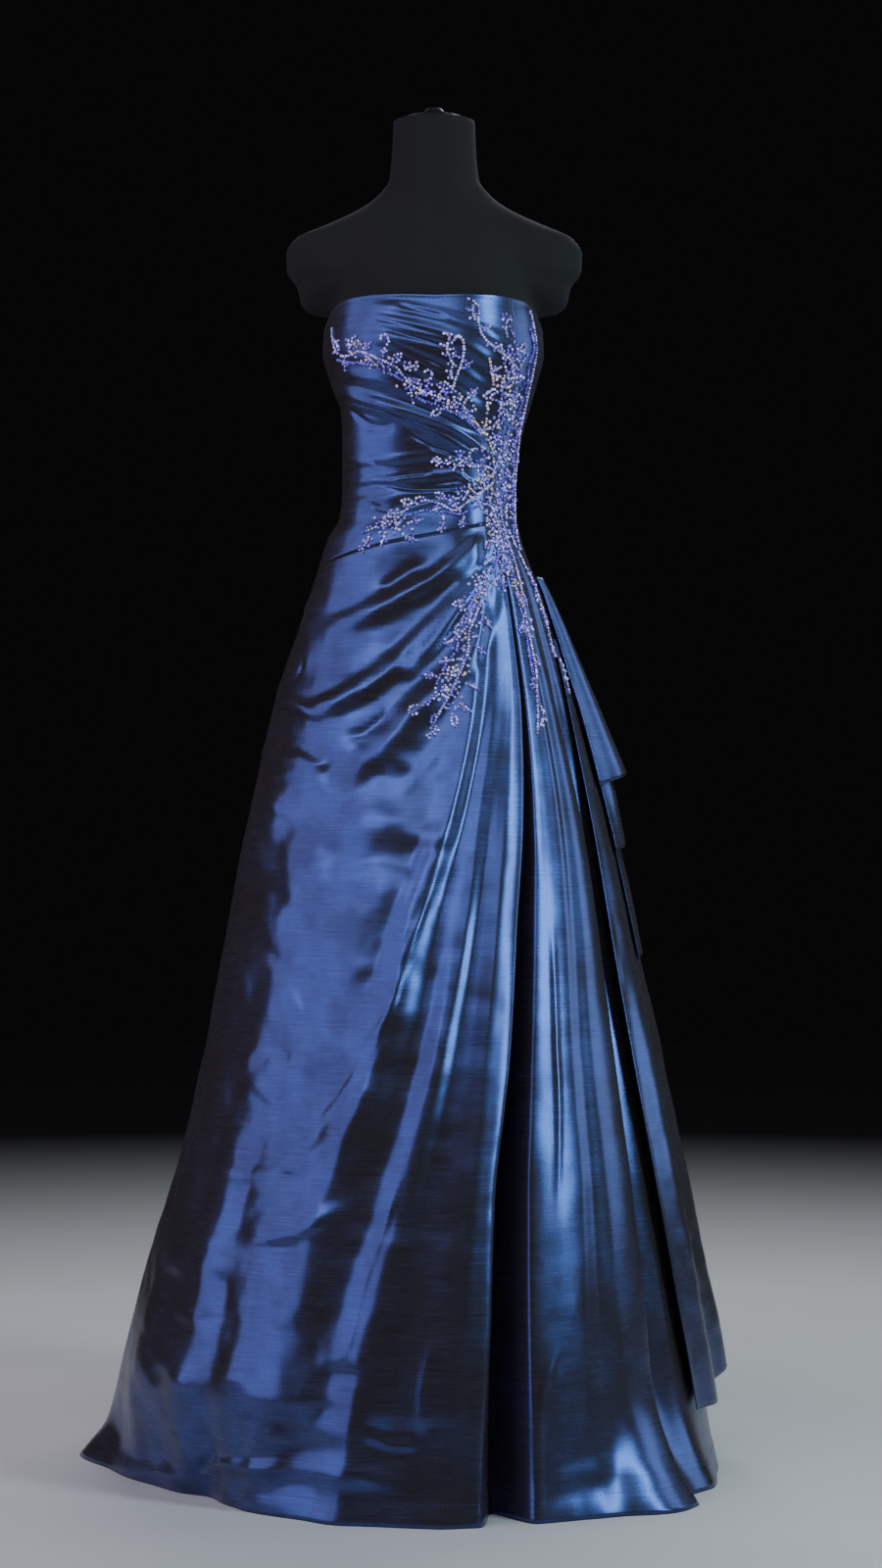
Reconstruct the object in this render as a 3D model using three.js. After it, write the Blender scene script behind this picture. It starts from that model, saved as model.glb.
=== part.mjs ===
// Evening gown on a limbless dress form, standing on the floor.
// Sizes in millimetres. The front faces -Y, the viewer's right is +X, z = 0 is the floor
// and x = y = 0 is the middle of the stand.
import * as THREE from "three";

const WALL = 2;            // cloth, lining and seam allowance together
const SEAM = 0.3;          // between two pieces
const STEEPEST = 2.6;      // how much thicker a wall may be, measured outward, on a steep pleat
const RAD = Math.PI / 180;

// Stand
const BASE_RADIUS = 165, BASE_THICK = 8;
const HUB_RADIUS = 30, HUB_TOP = 34;
const POLE_RADIUS = 15;
const FORM_BOTTOM = 850, NECK_TOP = 1638;
const KNOB_RADIUS = 13, KNOB_TOP = 1657;

// Zip, closed, at the centre of the back
const ZIP_HEIGHT = 1349;   // the pull's pin
const SLIDER = { width: 7, height: 11, plate: 1.2, lug: 1.4, reach: 5.2 };
const PIN_RADIUS = 0.8;
const PULL = { width: 3.4, eye: 2.1, hole: 1.15, length: 24, thick: 1.2, grip: 2.2 };

// Plain form of the gown: half sizes of its section from the axis to each side.
const SECTIONS = {
  columns: ["z", "left", "right", "front", "back"],
  rows: [
    [0, 436, 345, 408, 470],
    [45, 402, 336, 394, 446],
    [137, 379, 325, 378, 425],
    [262, 345, 308, 350, 390],
    [366, 313, 290, 322, 358],
    [479, 286, 268, 290, 320],
    [583, 266, 248, 258, 286],
    [728, 240, 220, 212, 236],
    [821, 220, 198, 180, 198],
    [934, 193, 168, 142, 155],
    [1000, 171, 149, 121, 133],
    [1055, 153, 133, 107, 117],
    [1098, 139, 116, 98, 105],
    [1125, 130, 107, 92, 97],
    [1150, 117, 102, 86, 88],
    [1186, 113, 101, 83, 82],
    [1245, 113, 107, 90, 84],
    [1283, 115, 117, 98, 88],
    [1318, 128, 127, 108, 92],
    [1355, 137, 135, 116, 95],
    [1380, 135, 133, 112, 94],
    [1415, 127, 126, 104, 92],
  ],
};

// Dress form: half width, depths, and the shoulder cap's reach and half depth.
const FORM = {
  columns: ["z", "half", "front", "back", "reach", "depth"],
  rows: [
    [850, 112, 80, 88, 0, 0],
    [858, 126, 91, 99, 0, 0],
    [885, 137, 97, 108, 0, 0],
    [930, 143, 99, 115, 0, 0],
    [965, 143, 101, 118, 0, 0],
    [1000, 137, 101, 117, 0, 0],
    [1030, 129.5, 99, 112, 0, 0],
    [1055, 123, 97, 107, 0, 0],
    [1080, 115.5, 94, 101, 0, 0],
    [1104, 108.5, 89, 95, 0, 0],
    [1126, 102, 85, 90, 0, 0],
    [1150, 97, 81, 83, 0, 0],
    [1186, 96, 78, 77, 0, 0],
    [1220, 97.5, 81, 77, 0, 0],
    [1250, 103, 86, 79, 0, 0],
    [1280, 111, 93, 82, 0, 0],
    [1312, 120.5, 101.5, 86, 0, 0],
    [1345, 128, 109, 89.5, 0, 0],
    [1372, 130, 110, 91, 0, 0],
    [1392, 128, 105.5, 90.5, 0, 0],
    [1402, 126, 103, 90, 148, 18],
    [1414, 123, 101, 89.4, 163, 34],
    [1434, 121, 96, 88, 168, 50],
    [1455, 119, 88, 85, 181, 52],
    [1476, 117, 78, 80, 182, 50],
    [1494, 111, 66, 74, 171, 46],
    [1511, 98, 56, 66, 133, 43],
    [1524, 82, 51, 60, 104, 40],
    [1538, 65, 48, 56, 80, 36],
    [1558, 57, 47, 53, 57, 30],
    [1596, 52, 46, 51, 0, 0],
    [1638, 50, 45, 50, 0, 0],
  ],
};
const FORM_TURNS = [0, 15, 30, 44, 56, 66, 74, 80, 85, 90];

// Edges and seams, by turn around the axis from the front, positive to the viewer's right.
const NECKLINE = {
  columns: ["turn", "z"],
  rows: [
    [-180, 1368], [-135, 1370], [-105, 1374], [-90, 1380], [-80, 1386], [-75, 1393], [-70, 1402],
    [-60, 1410], [-35, 1410], [0, 1406], [35, 1410], [60, 1409], [70, 1402], [75, 1393],
    [80, 1386], [90, 1380], [105, 1374], [135, 1370], [180, 1368],
  ],
};
const HIP_SEAM = {
  columns: ["turn", "z"],
  rows: [[-180, 1122], [-90, 1085], [90, 1160], [180, 1122]],
};
const ROLL_SEAM = {
  columns: ["turn", "z"],
  rows: [[-90, 1298], [-60, 1286], [-30, 1268], [0, 1246], [30, 1220], [60, 1196]],
};
const PRINCESS = { low: 1150, turnLow: 38, high: 1410, turnHigh: 47 };

// How far the hem stands out from the plain form on the floor, by turn.
const HEM = {
  columns: ["turn", "out"],
  rows: [
    [-180, 0], [-90, 0], [-75, -33], [-60, -50], [-45, -58], [-30, -28], [-20, -10], [-8, 0],
    [19, 0], [30, 6], [45, 46], [60, 34], [75, 8], [90, 0], [180, 0],
  ],
};
const HEM_REACH = 150;

// Skirt front: turn of each fold at nine heights, and how far it stands out at six.
const TURN_HEIGHTS = [0, 60, 200, 350, 500, 650, 800, 950, 1120];
const RISE_HEIGHTS = [0, 200, 500, 800, 950, 1120];
const FOLDS = [
  { name: "left side seam", turn: [-90, -90, -90, -90, -90, -90, -90, -90, -90], rise: [0, 0, 0, 0, 0, 0] },
  { name: "left hollow", turn: [-77, -77, -77, -77, -78, -78, -78, -78, -78], rise: [-4, -4, -2, -1, 0, 0] },
  { name: "left flute", turn: [-66, -66, -66, -64, -63, -62, -62, -64, -66], rise: [6, 6, 4, 3, 2, 1] },
  { name: "hollow beside it", turn: [-58, -58, -58, -56, -54, -52, -52, -52, -52], rise: [-6, -4, -3, -2, -1, 0] },
  { name: "broad flute", turn: [-50, -50, -50, -49, -47, -45, -44, -42, -38], rise: [9, 7, 4, 3, 3, 1] },
  { name: "broad hollow", turn: [-43, -43, -43, -42, -34, -28, -24, -20, -15], rise: [-12, -10, -6, -3, -2, 0] },
  { name: "drape edge", turn: [-37, -37, -36, -34, -18, -7, 2, 8, 14], rise: [4, 4, 9, 8, 4, 1] },
  { name: "drape hollow", turn: [-34, -34, -32, -30, -15, -3, 6, 15, 24], rise: [-6, -6, -6, -4, -2, 0] },
  { name: "pleat 1", turn: [-31, -31, -28, -25, -11.5, 1, 10.5, 23, 33], rise: [5, 6, 10, 9, 5, 1] },
  { name: "between 1 and 2", turn: [-27, -27, -24.5, -19, -6, 4.8, 12.8, 25.2, 35], rise: [-5, -6, -7, -5, -3, 0] },
  { name: "pleat 2", turn: [-22, -22, -20, -12, -1, 8.5, 15.5, 27.6, 36.5], rise: [8, 9, 10, 8, 4, 1] },
  { name: "between 2 and 3", turn: [-11, -12, -9, -3, 5, 12, 18.8, 30, 38], rise: [-9, -12, -13, -8, -3, 0] },
  { name: "pleat 3", turn: [-2, -1, 2, 6, 10, 15, 22, 32.2, 39.2], rise: [6, 8, 10, 8, 4, 1] },
  { name: "between 3 and 4", turn: [1.5, 2.4, 5, 8.3, 12.2, 17.8, 25.2, 34.2, 40.4], rise: [-4, -5, -5, -5, -2, 0] },
  { name: "pleat 4", turn: [4.8, 5.4, 7.8, 10.6, 14.8, 20.5, 28.3, 36, 41.6], rise: [8, 9, 11, 9, 5, 1] },
  { name: "deep pleat, left lip", turn: [8, 8.4, 10.6, 12.9, 18.5, 23.5, 30.6, 37.6, 42.6], rise: [4, 4, 5, 4, 2, 0.5] },
  { name: "deep pleat, bottom", turn: [13.5, 14, 15, 17.2, 21.8, 26.5, 32.6, 38.8, 43.4], rise: [-60, -64, -60, -38, -9, -0.5] },
  { name: "deep pleat, right lip", turn: [19, 19.3, 20, 21.5, 25, 29.5, 34.6, 40, 44.2], rise: [4, 4, 5, 4, 2, 0.5] },
  { name: "pleat 5", turn: [23, 23, 24.4, 27, 29.4, 33, 38, 42, 45.6], rise: [6, 7, 8, 6, 3, 1] },
  { name: "between 5 and 6", turn: [27, 27, 27.5, 30.1, 32.2, 36, 40.4, 44, 47], rise: [-5, -6, -6, -4, -2, 0] },
  { name: "pleat 6", turn: [31, 31, 31.2, 33.5, 35.2, 39, 43, 46.2, 48.6], rise: [9, 10, 12, 10, 5, 1] },
  { name: "between 6 and 7", turn: [36, 36, 36, 37.3, 38.8, 42.5, 46.4, 49.2, 51], rise: [-6, -7, -7, -5, -2, 0] },
  { name: "pleat 7", turn: [42, 42, 41, 41.5, 42.6, 46.4, 50, 52.4, 53.6], rise: [8, 9, 9, 7, 4, 1] },
  { name: "side pleat, lip", turn: [49, 49, 49.5, 50.6, 52, 54.4, 56.4, 57, 56.4], rise: [1, 1, 2, 2, 1, 0.5] },
  { name: "side pleat, bottom", turn: [55, 55, 55, 55.4, 57, 59, 61.4, 62.4, 60.4], rise: [-24, -26, -24, -15, -6, -0.5] },
  { name: "under the cascade", turn: [63, 63, 62, 62, 63, 65, 67.5, 68, 66], rise: [-8, -10, -10, -6, -2, 0] },
  { name: "right side seam", turn: [90, 90, 90, 90, 90, 90, 90, 90, 90], rise: [0, 0, 0, 0, 0, 0] },
];
const DEEP_PLEAT = 16;     // row of the fold where the front is seamed
const SKIRT_LEVELS = [0, 0.035, 0.08, 0.13, 0.18, 0.235, 0.29, 0.35, 0.41, 0.48, 0.55, 0.62, 0.69, 0.76, 0.83, 0.9, 0.945, 0.975, 1];
const BACK_LEVELS = [0, 0.06, 0.14, 0.23, 0.33, 0.44, 0.55, 0.66, 0.77, 0.87, 0.95, 1];
const BACK_FLUTES = { count: 5, rise: 17, top: 1050 };
const BACK_COLUMNS = 20;

// Folds that cross the cloth: path as turn and height, how far they stand out, half width.
const DRAPES = [
  { name: "neckline pleat", rise: 2.2, half: 11, path: [[-42, 1397], [-15, 1389], [10, 1376], [28, 1362], [44, 1350]] },
  { name: "bust pleat 1", rise: 3, half: 12, path: [[-50, 1382], [-20, 1372], [5, 1354], [25, 1333], [42, 1316]] },
  { name: "bust pleat 2", rise: 3.4, half: 12, path: [[-54, 1364], [-25, 1352], [0, 1332], [20, 1307], [40, 1286]] },
  { name: "bust pleat 3", rise: 3.4, half: 12, path: [[-60, 1344], [-28, 1330], [-5, 1310], [18, 1283], [40, 1256]] },
  { name: "bust pleat 4", rise: 3.4, half: 12, path: [[-66, 1322], [-35, 1306], [-10, 1286], [14, 1262], [38, 1236]] },
  { name: "roll under the bust", rise: 7, half: 15, path: [[-96, 1306], [-60, 1292], [-30, 1274], [0, 1252], [30, 1227], [50, 1210]] },
  { name: "waist pleat 1", rise: 3, half: 10, path: [[-84, 1222], [-40, 1212], [0, 1216], [28, 1212]] },
  { name: "waist pleat 2", rise: 3, half: 10, path: [[-84, 1192], [-40, 1190], [0, 1192], [30, 1198]] },
  { name: "waist pleat 3", rise: 2.6, half: 10, path: [[-80, 1164], [-35, 1166], [5, 1174], [32, 1186]] },
  { name: "hip roll", rise: 5, half: 16, path: [[-84, 1098], [-45, 1100], [-10, 1122], [18, 1150], [38, 1172]] },
  { name: "hip drape 1", rise: 7, half: 22, path: [[36, 1136], [10, 1084], [-14, 1046], [-36, 1018], [-62, 1004]] },
  { name: "hip drape 2", rise: 8, half: 20, path: [[38, 1120], [12, 1040], [-6, 986], [-22, 944], [-40, 912], [-64, 900]] },
  { name: "hip drape 3", rise: 7, half: 22, path: [[40, 1096], [22, 1010], [8, 950], [-8, 900], [-22, 846], [-36, 806]] },
  { name: "thigh fold 1", rise: 5, half: 14, path: [[-88, 944], [-66, 922], [-44, 912]] },
  { name: "thigh fold 2", rise: 5, half: 15, path: [[-88, 868], [-64, 852], [-34, 846]] },
  { name: "thigh fold 3", rise: 4, half: 14, path: [[-86, 812], [-62, 800], [-40, 770]] },
  { name: "knee fold", rise: 4, half: 14, path: [[-70, 492], [-50, 478], [-34, 440]] },
  { name: "drape sweep 1", rise: 5, half: 16, path: [[-66, 384], [-46, 366], [-30, 384], [-20, 420]] },
  { name: "drape sweep 2", rise: 5, half: 16, path: [[-66, 306], [-44, 288], [-28, 310], [-14, 352]] },
  { name: "hem break", rise: 7, half: 16, path: [[-58, 44], [-36, 48], [-16, 52], [2, 40]] },
  { name: "hem break, right", rise: 5, half: 15, path: [[20, 44], [34, 50], [48, 40]] },
];

// Cascade at the right hip: each tier is a flute that hangs from the seam, widens and
// stands out. Turns are measured each way from the side seam.
const CASCADE_TURN = 88.5;
const CASCADE_PROFILE = [0.02, 0.38, 0.8, 1, 0.8, 0.38, 0.02];
const CASCADE = [
  {
    name: "cascade_tier_1", drop: 17, columns: ["z", "reach", "lift", "half turn"],
    rows: [[1078, 6.5, 0.7, 5], [1040, 11.5, 1.1, 6.5], [1000, 15, 2.9, 8], [960, 19.5, 3.6, 9.5],
      [920, 23, 6.2, 11], [880, 28, 7.2, 12.2], [838, 33.5, 7.8, 13.5]],
  },
  {
    name: "cascade_tier_2", drop: 9, columns: ["z", "reach", "lift", "half turn"],
    rows: [[930, 4.5, 3.2, 5], [900, 8, 3.5, 6], [860, 12, 4, 7.2], [820, 14.5, 6.5, 8.4], [785, 13, 7, 9.2], [750, 11, 7.6, 10]],
  },
  {
    name: "cascade_tier_3", drop: 7, columns: ["z", "reach", "lift", "half turn"],
    rows: [[830, 2.5, 3.6, 4], [790, 4.5, 4, 5], [750, 6, 4.8, 6], [700, 6, 6, 6.8], [660, 5.5, 7.2, 7.4], [618, 4.5, 8.4, 8]],
  },
];
// The last tier is the long one: turn and rise of its folds by height.
const LONG_TIER = {
  heights: [96, 150, 240, 360, 480, 580, 660, 740, 860, 1000],
  folds: [
    { name: "front edge", turn: [67, 65, 62.5, 61, 60.5, 60.5, 61, 62.5, 66, 74], rise: [4, 4, 4, 4, 4, 3.5, 3, 2, 1.6, 1.15] },
    { name: "front flute", turn: [75, 73, 70, 68.5, 69, 69.5, 69.5, 70, 74, 80], rise: [18, 17, 16, 15, 14, 10, 7, 5, 2.6, 1.15] },
    { name: "hollow", turn: [81, 80, 78.5, 77.5, 77.5, 78, 78, 78, 80, 84], rise: [7, 6.5, 6, 6, 6, 4.6, 3.4, 2.4, 1.6, 1.15] },
    { name: "side flute", turn: [90, 90, 90, 90, 90, 90, 89, 88, 88, 88], rise: [31, 29, 21, 17, 14.5, 10.5, 6, 2.6, 1.6, 1.15] },
    { name: "back edge", turn: [99, 98, 97, 96, 96, 96, 95, 94, 93, 92], rise: [4, 4, 4, 4, 4, 3.5, 2.4, 1.35, 1.2, 1.1] },
  ],
  drop: 14,
};

// A smooth curve through points that never swings past them.
function smooth(xs, ys) {
  const n = xs.length, slope = [], tangent = [];
  for (let i = 0; i < n - 1; i++) slope.push((ys[i + 1] - ys[i]) / (xs[i + 1] - xs[i]));
  for (let i = 0; i < n; i++) {
    const a = slope[Math.max(0, i - 1)], b = slope[Math.min(n - 2, i)];
    tangent.push(a * b <= 0 ? 0 : (2 * a * b) / (a + b));
  }
  return (x) => {
    if (x <= xs[0]) return ys[0];
    if (x >= xs[n - 1]) return ys[n - 1];
    let i = 0;
    while (x > xs[i + 1]) i++;
    const h = xs[i + 1] - xs[i], f = (x - xs[i]) / h, g = 1 - f;
    return ys[i] * g * g * (1 + 2 * f) + ys[i + 1] * f * f * (1 + 2 * g)
      + h * f * g * (tangent[i] * g - tangent[i + 1] * f);
  };
}

function straight(xs, ys) {
  return (x) => {
    if (x <= xs[0]) return ys[0];
    if (x >= xs[xs.length - 1]) return ys[ys.length - 1];
    let i = 0;
    while (x > xs[i + 1]) i++;
    return ys[i] + ((ys[i + 1] - ys[i]) * (x - xs[i])) / (xs[i + 1] - xs[i]);
  };
}

const columnOf = (table, name) => table.rows.map((row) => row[table.columns.indexOf(name)]);
const curveOf = (table, name, kind = smooth) => kind(columnOf(table, table.columns[0]), columnOf(table, name));

const section = Object.fromEntries(SECTIONS.columns.slice(1).map((name) => [name, curveOf(SECTIONS, name)]));
const neckline = curveOf(NECKLINE, "z", straight);
const hipSeam = curveOf(HIP_SEAM, "z", straight);
const rollSeam = curveOf(ROLL_SEAM, "z", straight);
const hemOut = curveOf(HEM, "out");
const princess = straight([PRINCESS.low, PRINCESS.high], [PRINCESS.turnLow, PRINCESS.turnHigh]);

// Point of the plain form at a turn and height, moved out along its own direction.
function place(turn, z, out = 0) {
  const s = Math.sin(turn * RAD), c = Math.cos(turn * RAD);
  const a = s < 0 ? section.left(z) : section.right(z);
  const d = c > 0 ? section.front(z) : section.back(z);
  const length = Math.hypot(s / a, c / d);
  return [a * s + (out * s) / a / length, -d * c - (out * c) / d / length, z];
}

// Arc length from the front line, about true, so that folds can be measured flat.
const girthScale = (z) => RAD * (section.left(z) + section.right(z) + 2 * section.front(z)) / 4;

function drapeRise(turn, z) {
  let total = 0;
  const px = turn * girthScale(z);
  for (const drape of DRAPES) {
    const last = drape.path.length - 1;
    let best = Infinity, along = 0;
    for (let k = 0; k < last; k++) {
      const [t0, z0] = drape.path[k], [t1, z1] = drape.path[k + 1];
      const ax = t0 * girthScale(z0), bx = t1 * girthScale(z1);
      const dx = bx - ax, dz = z1 - z0;
      const f = Math.min(1, Math.max(0, ((px - ax) * dx + (z - z0) * dz) / (dx * dx + dz * dz)));
      const far = Math.hypot(px - ax - f * dx, z - z0 - f * dz);
      if (far < best) { best = far; along = (k + f) / last; }
    }
    if (best < drape.half) {
      const fade = Math.min(1, along / 0.22, (1 - along) / 0.22);
      total += drape.rise * Math.cos((Math.PI / 2) * (best / drape.half)) ** 2 * fade;
    }
  }
  return total;
}

const hemRise = (turn, z) => (z < HEM_REACH ? hemOut(turn) * (1 - z / HEM_REACH) ** 2 : 0);

// Closed wall between an outer and an inner grid of points, rows from top to bottom,
// columns from the viewer's left to right on the front.
function wall(outer, inner) {
  const rows = outer.length, cols = outer[0].length;
  const position = [...outer.flat(), ...inner.flat()].flat();
  const index = [], id = (side, j, i) => side * rows * cols + j * cols + i;
  const quad = (a, b, c, d) => index.push(a, b, c, c, b, d);
  for (let j = 0; j < rows - 1; j++) {
    for (let i = 0; i < cols - 1; i++) {
      quad(id(0, j, i), id(0, j + 1, i), id(0, j, i + 1), id(0, j + 1, i + 1));
      quad(id(1, j, i), id(1, j, i + 1), id(1, j + 1, i), id(1, j + 1, i + 1));
    }
    quad(id(1, j, 0), id(1, j + 1, 0), id(0, j, 0), id(0, j + 1, 0));
    quad(id(0, j, cols - 1), id(0, j + 1, cols - 1), id(1, j, cols - 1), id(1, j + 1, cols - 1));
  }
  for (let i = 0; i < cols - 1; i++) {
    quad(id(1, 0, i), id(0, 0, i), id(1, 0, i + 1), id(0, 0, i + 1));
    quad(id(0, rows - 1, i), id(1, rows - 1, i), id(0, rows - 1, i + 1), id(1, rows - 1, i + 1));
  }
  return solid(position, index);
}

function solid(position, index) {
  const geometry = new THREE.BufferGeometry();
  geometry.setAttribute("position", new THREE.Float32BufferAttribute(position, 3));
  geometry.setIndex(index);
  geometry.computeVertexNormals();
  return geometry;
}

// Closed solid through rings of equal count, from bottom to top.
function loft(rings) {
  const n = rings[0].length, position = rings.flat().flat(), index = [];
  rings.forEach((ring, j) => {
    if (j === rings.length - 1) return;
    for (let i = 0; i < n; i++) {
      const k = (i + 1) % n;
      index.push(j * n + i, j * n + k, (j + 1) * n + i, (j + 1) * n + i, j * n + k, (j + 1) * n + k);
    }
  });
  for (const j of [0, rings.length - 1]) {
    const middle = position.length / 3;
    position.push(0, 0, rings[j][0][2]);
    for (let i = 0; i < n; i++) {
      const k = (i + 1) % n;
      if (j) index.push(middle, j * n + i, j * n + k);
      else index.push(middle, k, i);
    }
  }
  return solid(position, index);
}

// Wall from points given as turn, height and rise. On a steep pleat it is thicker outward,
// so that it keeps its thickness across the cloth.
function clothWall(rows) {
  const outer = rows.map((row) => row.map((p) => place(p.turn, p.z, p.out)));
  const inner = rows.map((row, j) => row.map((p, i) => {
    let steep = 0, count = 0;
    for (const k of [i - 1, i + 1]) {
      if (k < 0 || k >= row.length) continue;
      const far = Math.hypot(outer[j][i][0] - outer[j][k][0], outer[j][i][1] - outer[j][k][1]);
      const step = Math.min(0.999 * far, Math.abs(p.out - row[k].out));
      steep += far / Math.sqrt(far * far - step * step);
      count++;
    }
    return place(p.turn, p.z, p.out - WALL * Math.min(STEEPEST, steep / count));
  }));
  return wall(outer, inner);
}

// Turn that moves a point half a seam along the cloth.
const seamTurn = (z) => (SEAM / 2) / girthScale(z);

// Skirt
const foldTurn = FOLDS.map((fold) => smooth(TURN_HEIGHTS, fold.turn));
const foldRise = FOLDS.map((fold) => smooth(RISE_HEIGHTS, fold.rise));

function skirtFront(first, last) {
  const columns = [];
  for (let k = first; k <= last; k++) {
    columns.push([k, 0]);
    if (k < last) {
      const wide = foldTurn[k + 1](0) - foldTurn[k](0) > 20;
      const parts = wide ? 4 : 3;
      for (let p = 1; p < parts; p++) columns.push([k, p / parts]);
    }
  }
  return clothWall(SKIRT_LEVELS.map((level) => columns.map(([k, f], i) => {
    const m = Math.min(k + 1, FOLDS.length - 1);
    let z = 1100 * (1 - level), turn = 0;
    for (let pass = 0; pass < 4; pass++) {
      turn = foldTurn[k](z) * (1 - f) + foldTurn[m](z) * f;
      z = (hipSeam(turn) - SEAM / 2) * (1 - level);
    }
    const ease = 0.5 - 0.5 * Math.cos(Math.PI * f);
    const out = foldRise[k](z) * (1 - ease) + foldRise[m](z) * ease + drapeRise(turn, z) + hemRise(turn, z);
    if (i === 0) turn += seamTurn(z);
    if (i === columns.length - 1) turn -= seamTurn(z);
    return { turn, z, out };
  })));
}

function skirtBack(side) {
  return clothWall(BACK_LEVELS.map((level) => {
    const row = [];
    for (let i = 0; i <= BACK_COLUMNS; i++) {
      const f = side > 0 ? i / BACK_COLUMNS : 1 - i / BACK_COLUMNS;
      let turn = side * (90 + 90 * f);
      const z = (hipSeam(turn) - SEAM / 2) * (1 - level);
      const spread = Math.max(0, 1 - z / BACK_FLUTES.top) ** 0.8;
      const ends = Math.min(1, Math.max(0, (f - 0.13) / 0.1), (1 - f) / 0.1);
      const out = BACK_FLUTES.rise * spread * ends * Math.sin(Math.PI * 2 * BACK_FLUTES.count * f);
      if (i === 0) turn += seamTurn(z);
      if (i === BACK_COLUMNS) turn -= seamTurn(z);
      row.push({ turn, z, out });
    }
    return row;
  }));
}

// Bodice piece between two side lines and two edges, each a function.
function bodicePiece({ left, right, top, bottom, columns, rows }) {
  const grid = [];
  for (let j = 0; j <= rows; j++) {
    const row = [];
    for (let i = 0; i <= columns; i++) {
      let turn = 0, z = 1250;
      for (let pass = 0; pass < 6; pass++) {
        turn = left(z) + ((right(z) - left(z)) * i) / columns;
        z = top(turn) + ((bottom(turn) - top(turn)) * j) / rows;
      }
      const out = drapeRise(turn, z);
      if (i === 0) turn += seamTurn(z);
      if (i === columns) turn -= seamTurn(z);
      row.push({ turn, z, out });
    }
    grid.push(row);
  }
  return clothWall(grid);
}

const half = SEAM / 2;
const line = (turn) => () => turn;
const lower = (edge, by) => (turn) => edge(turn) + by;

// Tier of the cascade: a flute with a slanting hem.
function cascadeTier(tier) {
  const n = CASCADE_PROFILE.length - 1, last = tier.rows.length - 1;
  return clothWall(tier.rows.map(([z, reach, lift, halfTurn], j) => CASCADE_PROFILE.map((share, i) => ({
    turn: CASCADE_TURN + halfTurn * ((2 * i) / n - 1),
    z: z - (j === last ? tier.drop * Math.abs(1 - (2 * i) / n) : 0),
    out: lift + WALL + share * reach,
  }))));
}

function longTier() {
  const turnAt = LONG_TIER.folds.map((fold) => smooth(LONG_TIER.heights, fold.turn));
  const riseAt = LONG_TIER.folds.map((fold) => smooth(LONG_TIER.heights, fold.rise));
  const columns = [];
  LONG_TIER.folds.forEach((fold, k) => {
    columns.push([k, 0]);
    if (k < LONG_TIER.folds.length - 1) columns.push([k, 0.5]);
  });
  const levels = [...LONG_TIER.heights].reverse();
  return clothWall(levels.map((z, j) => columns.map(([k, f]) => {
    const m = Math.min(k + 1, LONG_TIER.folds.length - 1);
    const turn = turnAt[k](z) * (1 - f) + turnAt[m](z) * f;
    const out = riseAt[k](z) * (1 - f) + riseAt[m](z) * f;
    const low = j === levels.length - 1 ? LONG_TIER.drop * Math.min(1, Math.max(-1, (turn - 82) / 8)) : 0;
    return { turn, z: z + low, out: out + WALL - 0.5 };
  })));
}

// Dress form
const formAt = Object.fromEntries(FORM.columns.slice(1).map((name) => [name, curveOf(FORM, name)]));

function dressForm() {
  const quarter = FORM_TURNS.slice(0, -1);
  const turns = [...FORM_TURNS, ...quarter.map((t) => 180 - t).reverse(),
    ...quarter.slice(1).map((t) => 180 + t), 270, ...quarter.slice(1).map((t) => 360 - t).reverse()];
  return loft(columnOf(FORM, "z").map((z) => turns.map((turn) => {
    const s = Math.sin(turn * RAD), c = Math.cos(turn * RAD);
    const d = c > 0 ? formAt.front(z) : formAt.back(z);
    const body = 1 / Math.hypot(s / formAt.half(z), c / d);
    const reach = formAt.reach(z), depth = formAt.depth(z);
    const cap = reach > 0 ? (Math.abs(s / reach) ** 2.4 + Math.abs(c / depth) ** 2.4) ** (-1 / 2.4) : 0;
    const far = cap > 0 ? (body ** 14 + cap ** 14) ** (1 / 14) : body;
    return [far * s, -far * c, z];
  })));
}

function turned(profile, segments) {
  const geometry = new THREE.LatheGeometry(profile.map(([r, z]) => new THREE.Vector2(r, z)), segments);
  geometry.rotateX(Math.PI / 2);
  return geometry;
}

// Zip slider with two lugs, its pin, and the pull that swings on it.
const zipFace = section.back(ZIP_HEIGHT) + SEAM;
const pinY = zipFace + SLIDER.plate + PULL.eye + 0.5;

function zipSlider() {
  const w = SLIDER.width / 2, outline = new THREE.Shape();
  const corners = [[-w, 0], [w, 0], [w, SLIDER.reach], [w - SLIDER.lug, SLIDER.reach], [w - SLIDER.lug, SLIDER.plate],
    [-w + SLIDER.lug, SLIDER.plate], [-w + SLIDER.lug, SLIDER.reach], [-w, SLIDER.reach]];
  corners.forEach(([x, y], k) => (k ? outline.lineTo(x, y) : outline.moveTo(x, y)));
  const geometry = new THREE.ExtrudeGeometry(outline, { depth: SLIDER.height, bevelEnabled: false });
  geometry.translate(0, zipFace, ZIP_HEIGHT - SLIDER.height / 2);
  return geometry;
}

function zipPin() {
  const length = SLIDER.width - 2 * SLIDER.lug - 2 * SEAM;
  const geometry = new THREE.CylinderGeometry(PIN_RADIUS, PIN_RADIUS, length, 16);
  geometry.rotateZ(Math.PI / 2);
  geometry.translate(0, pinY, ZIP_HEIGHT);
  return geometry;
}

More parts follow.
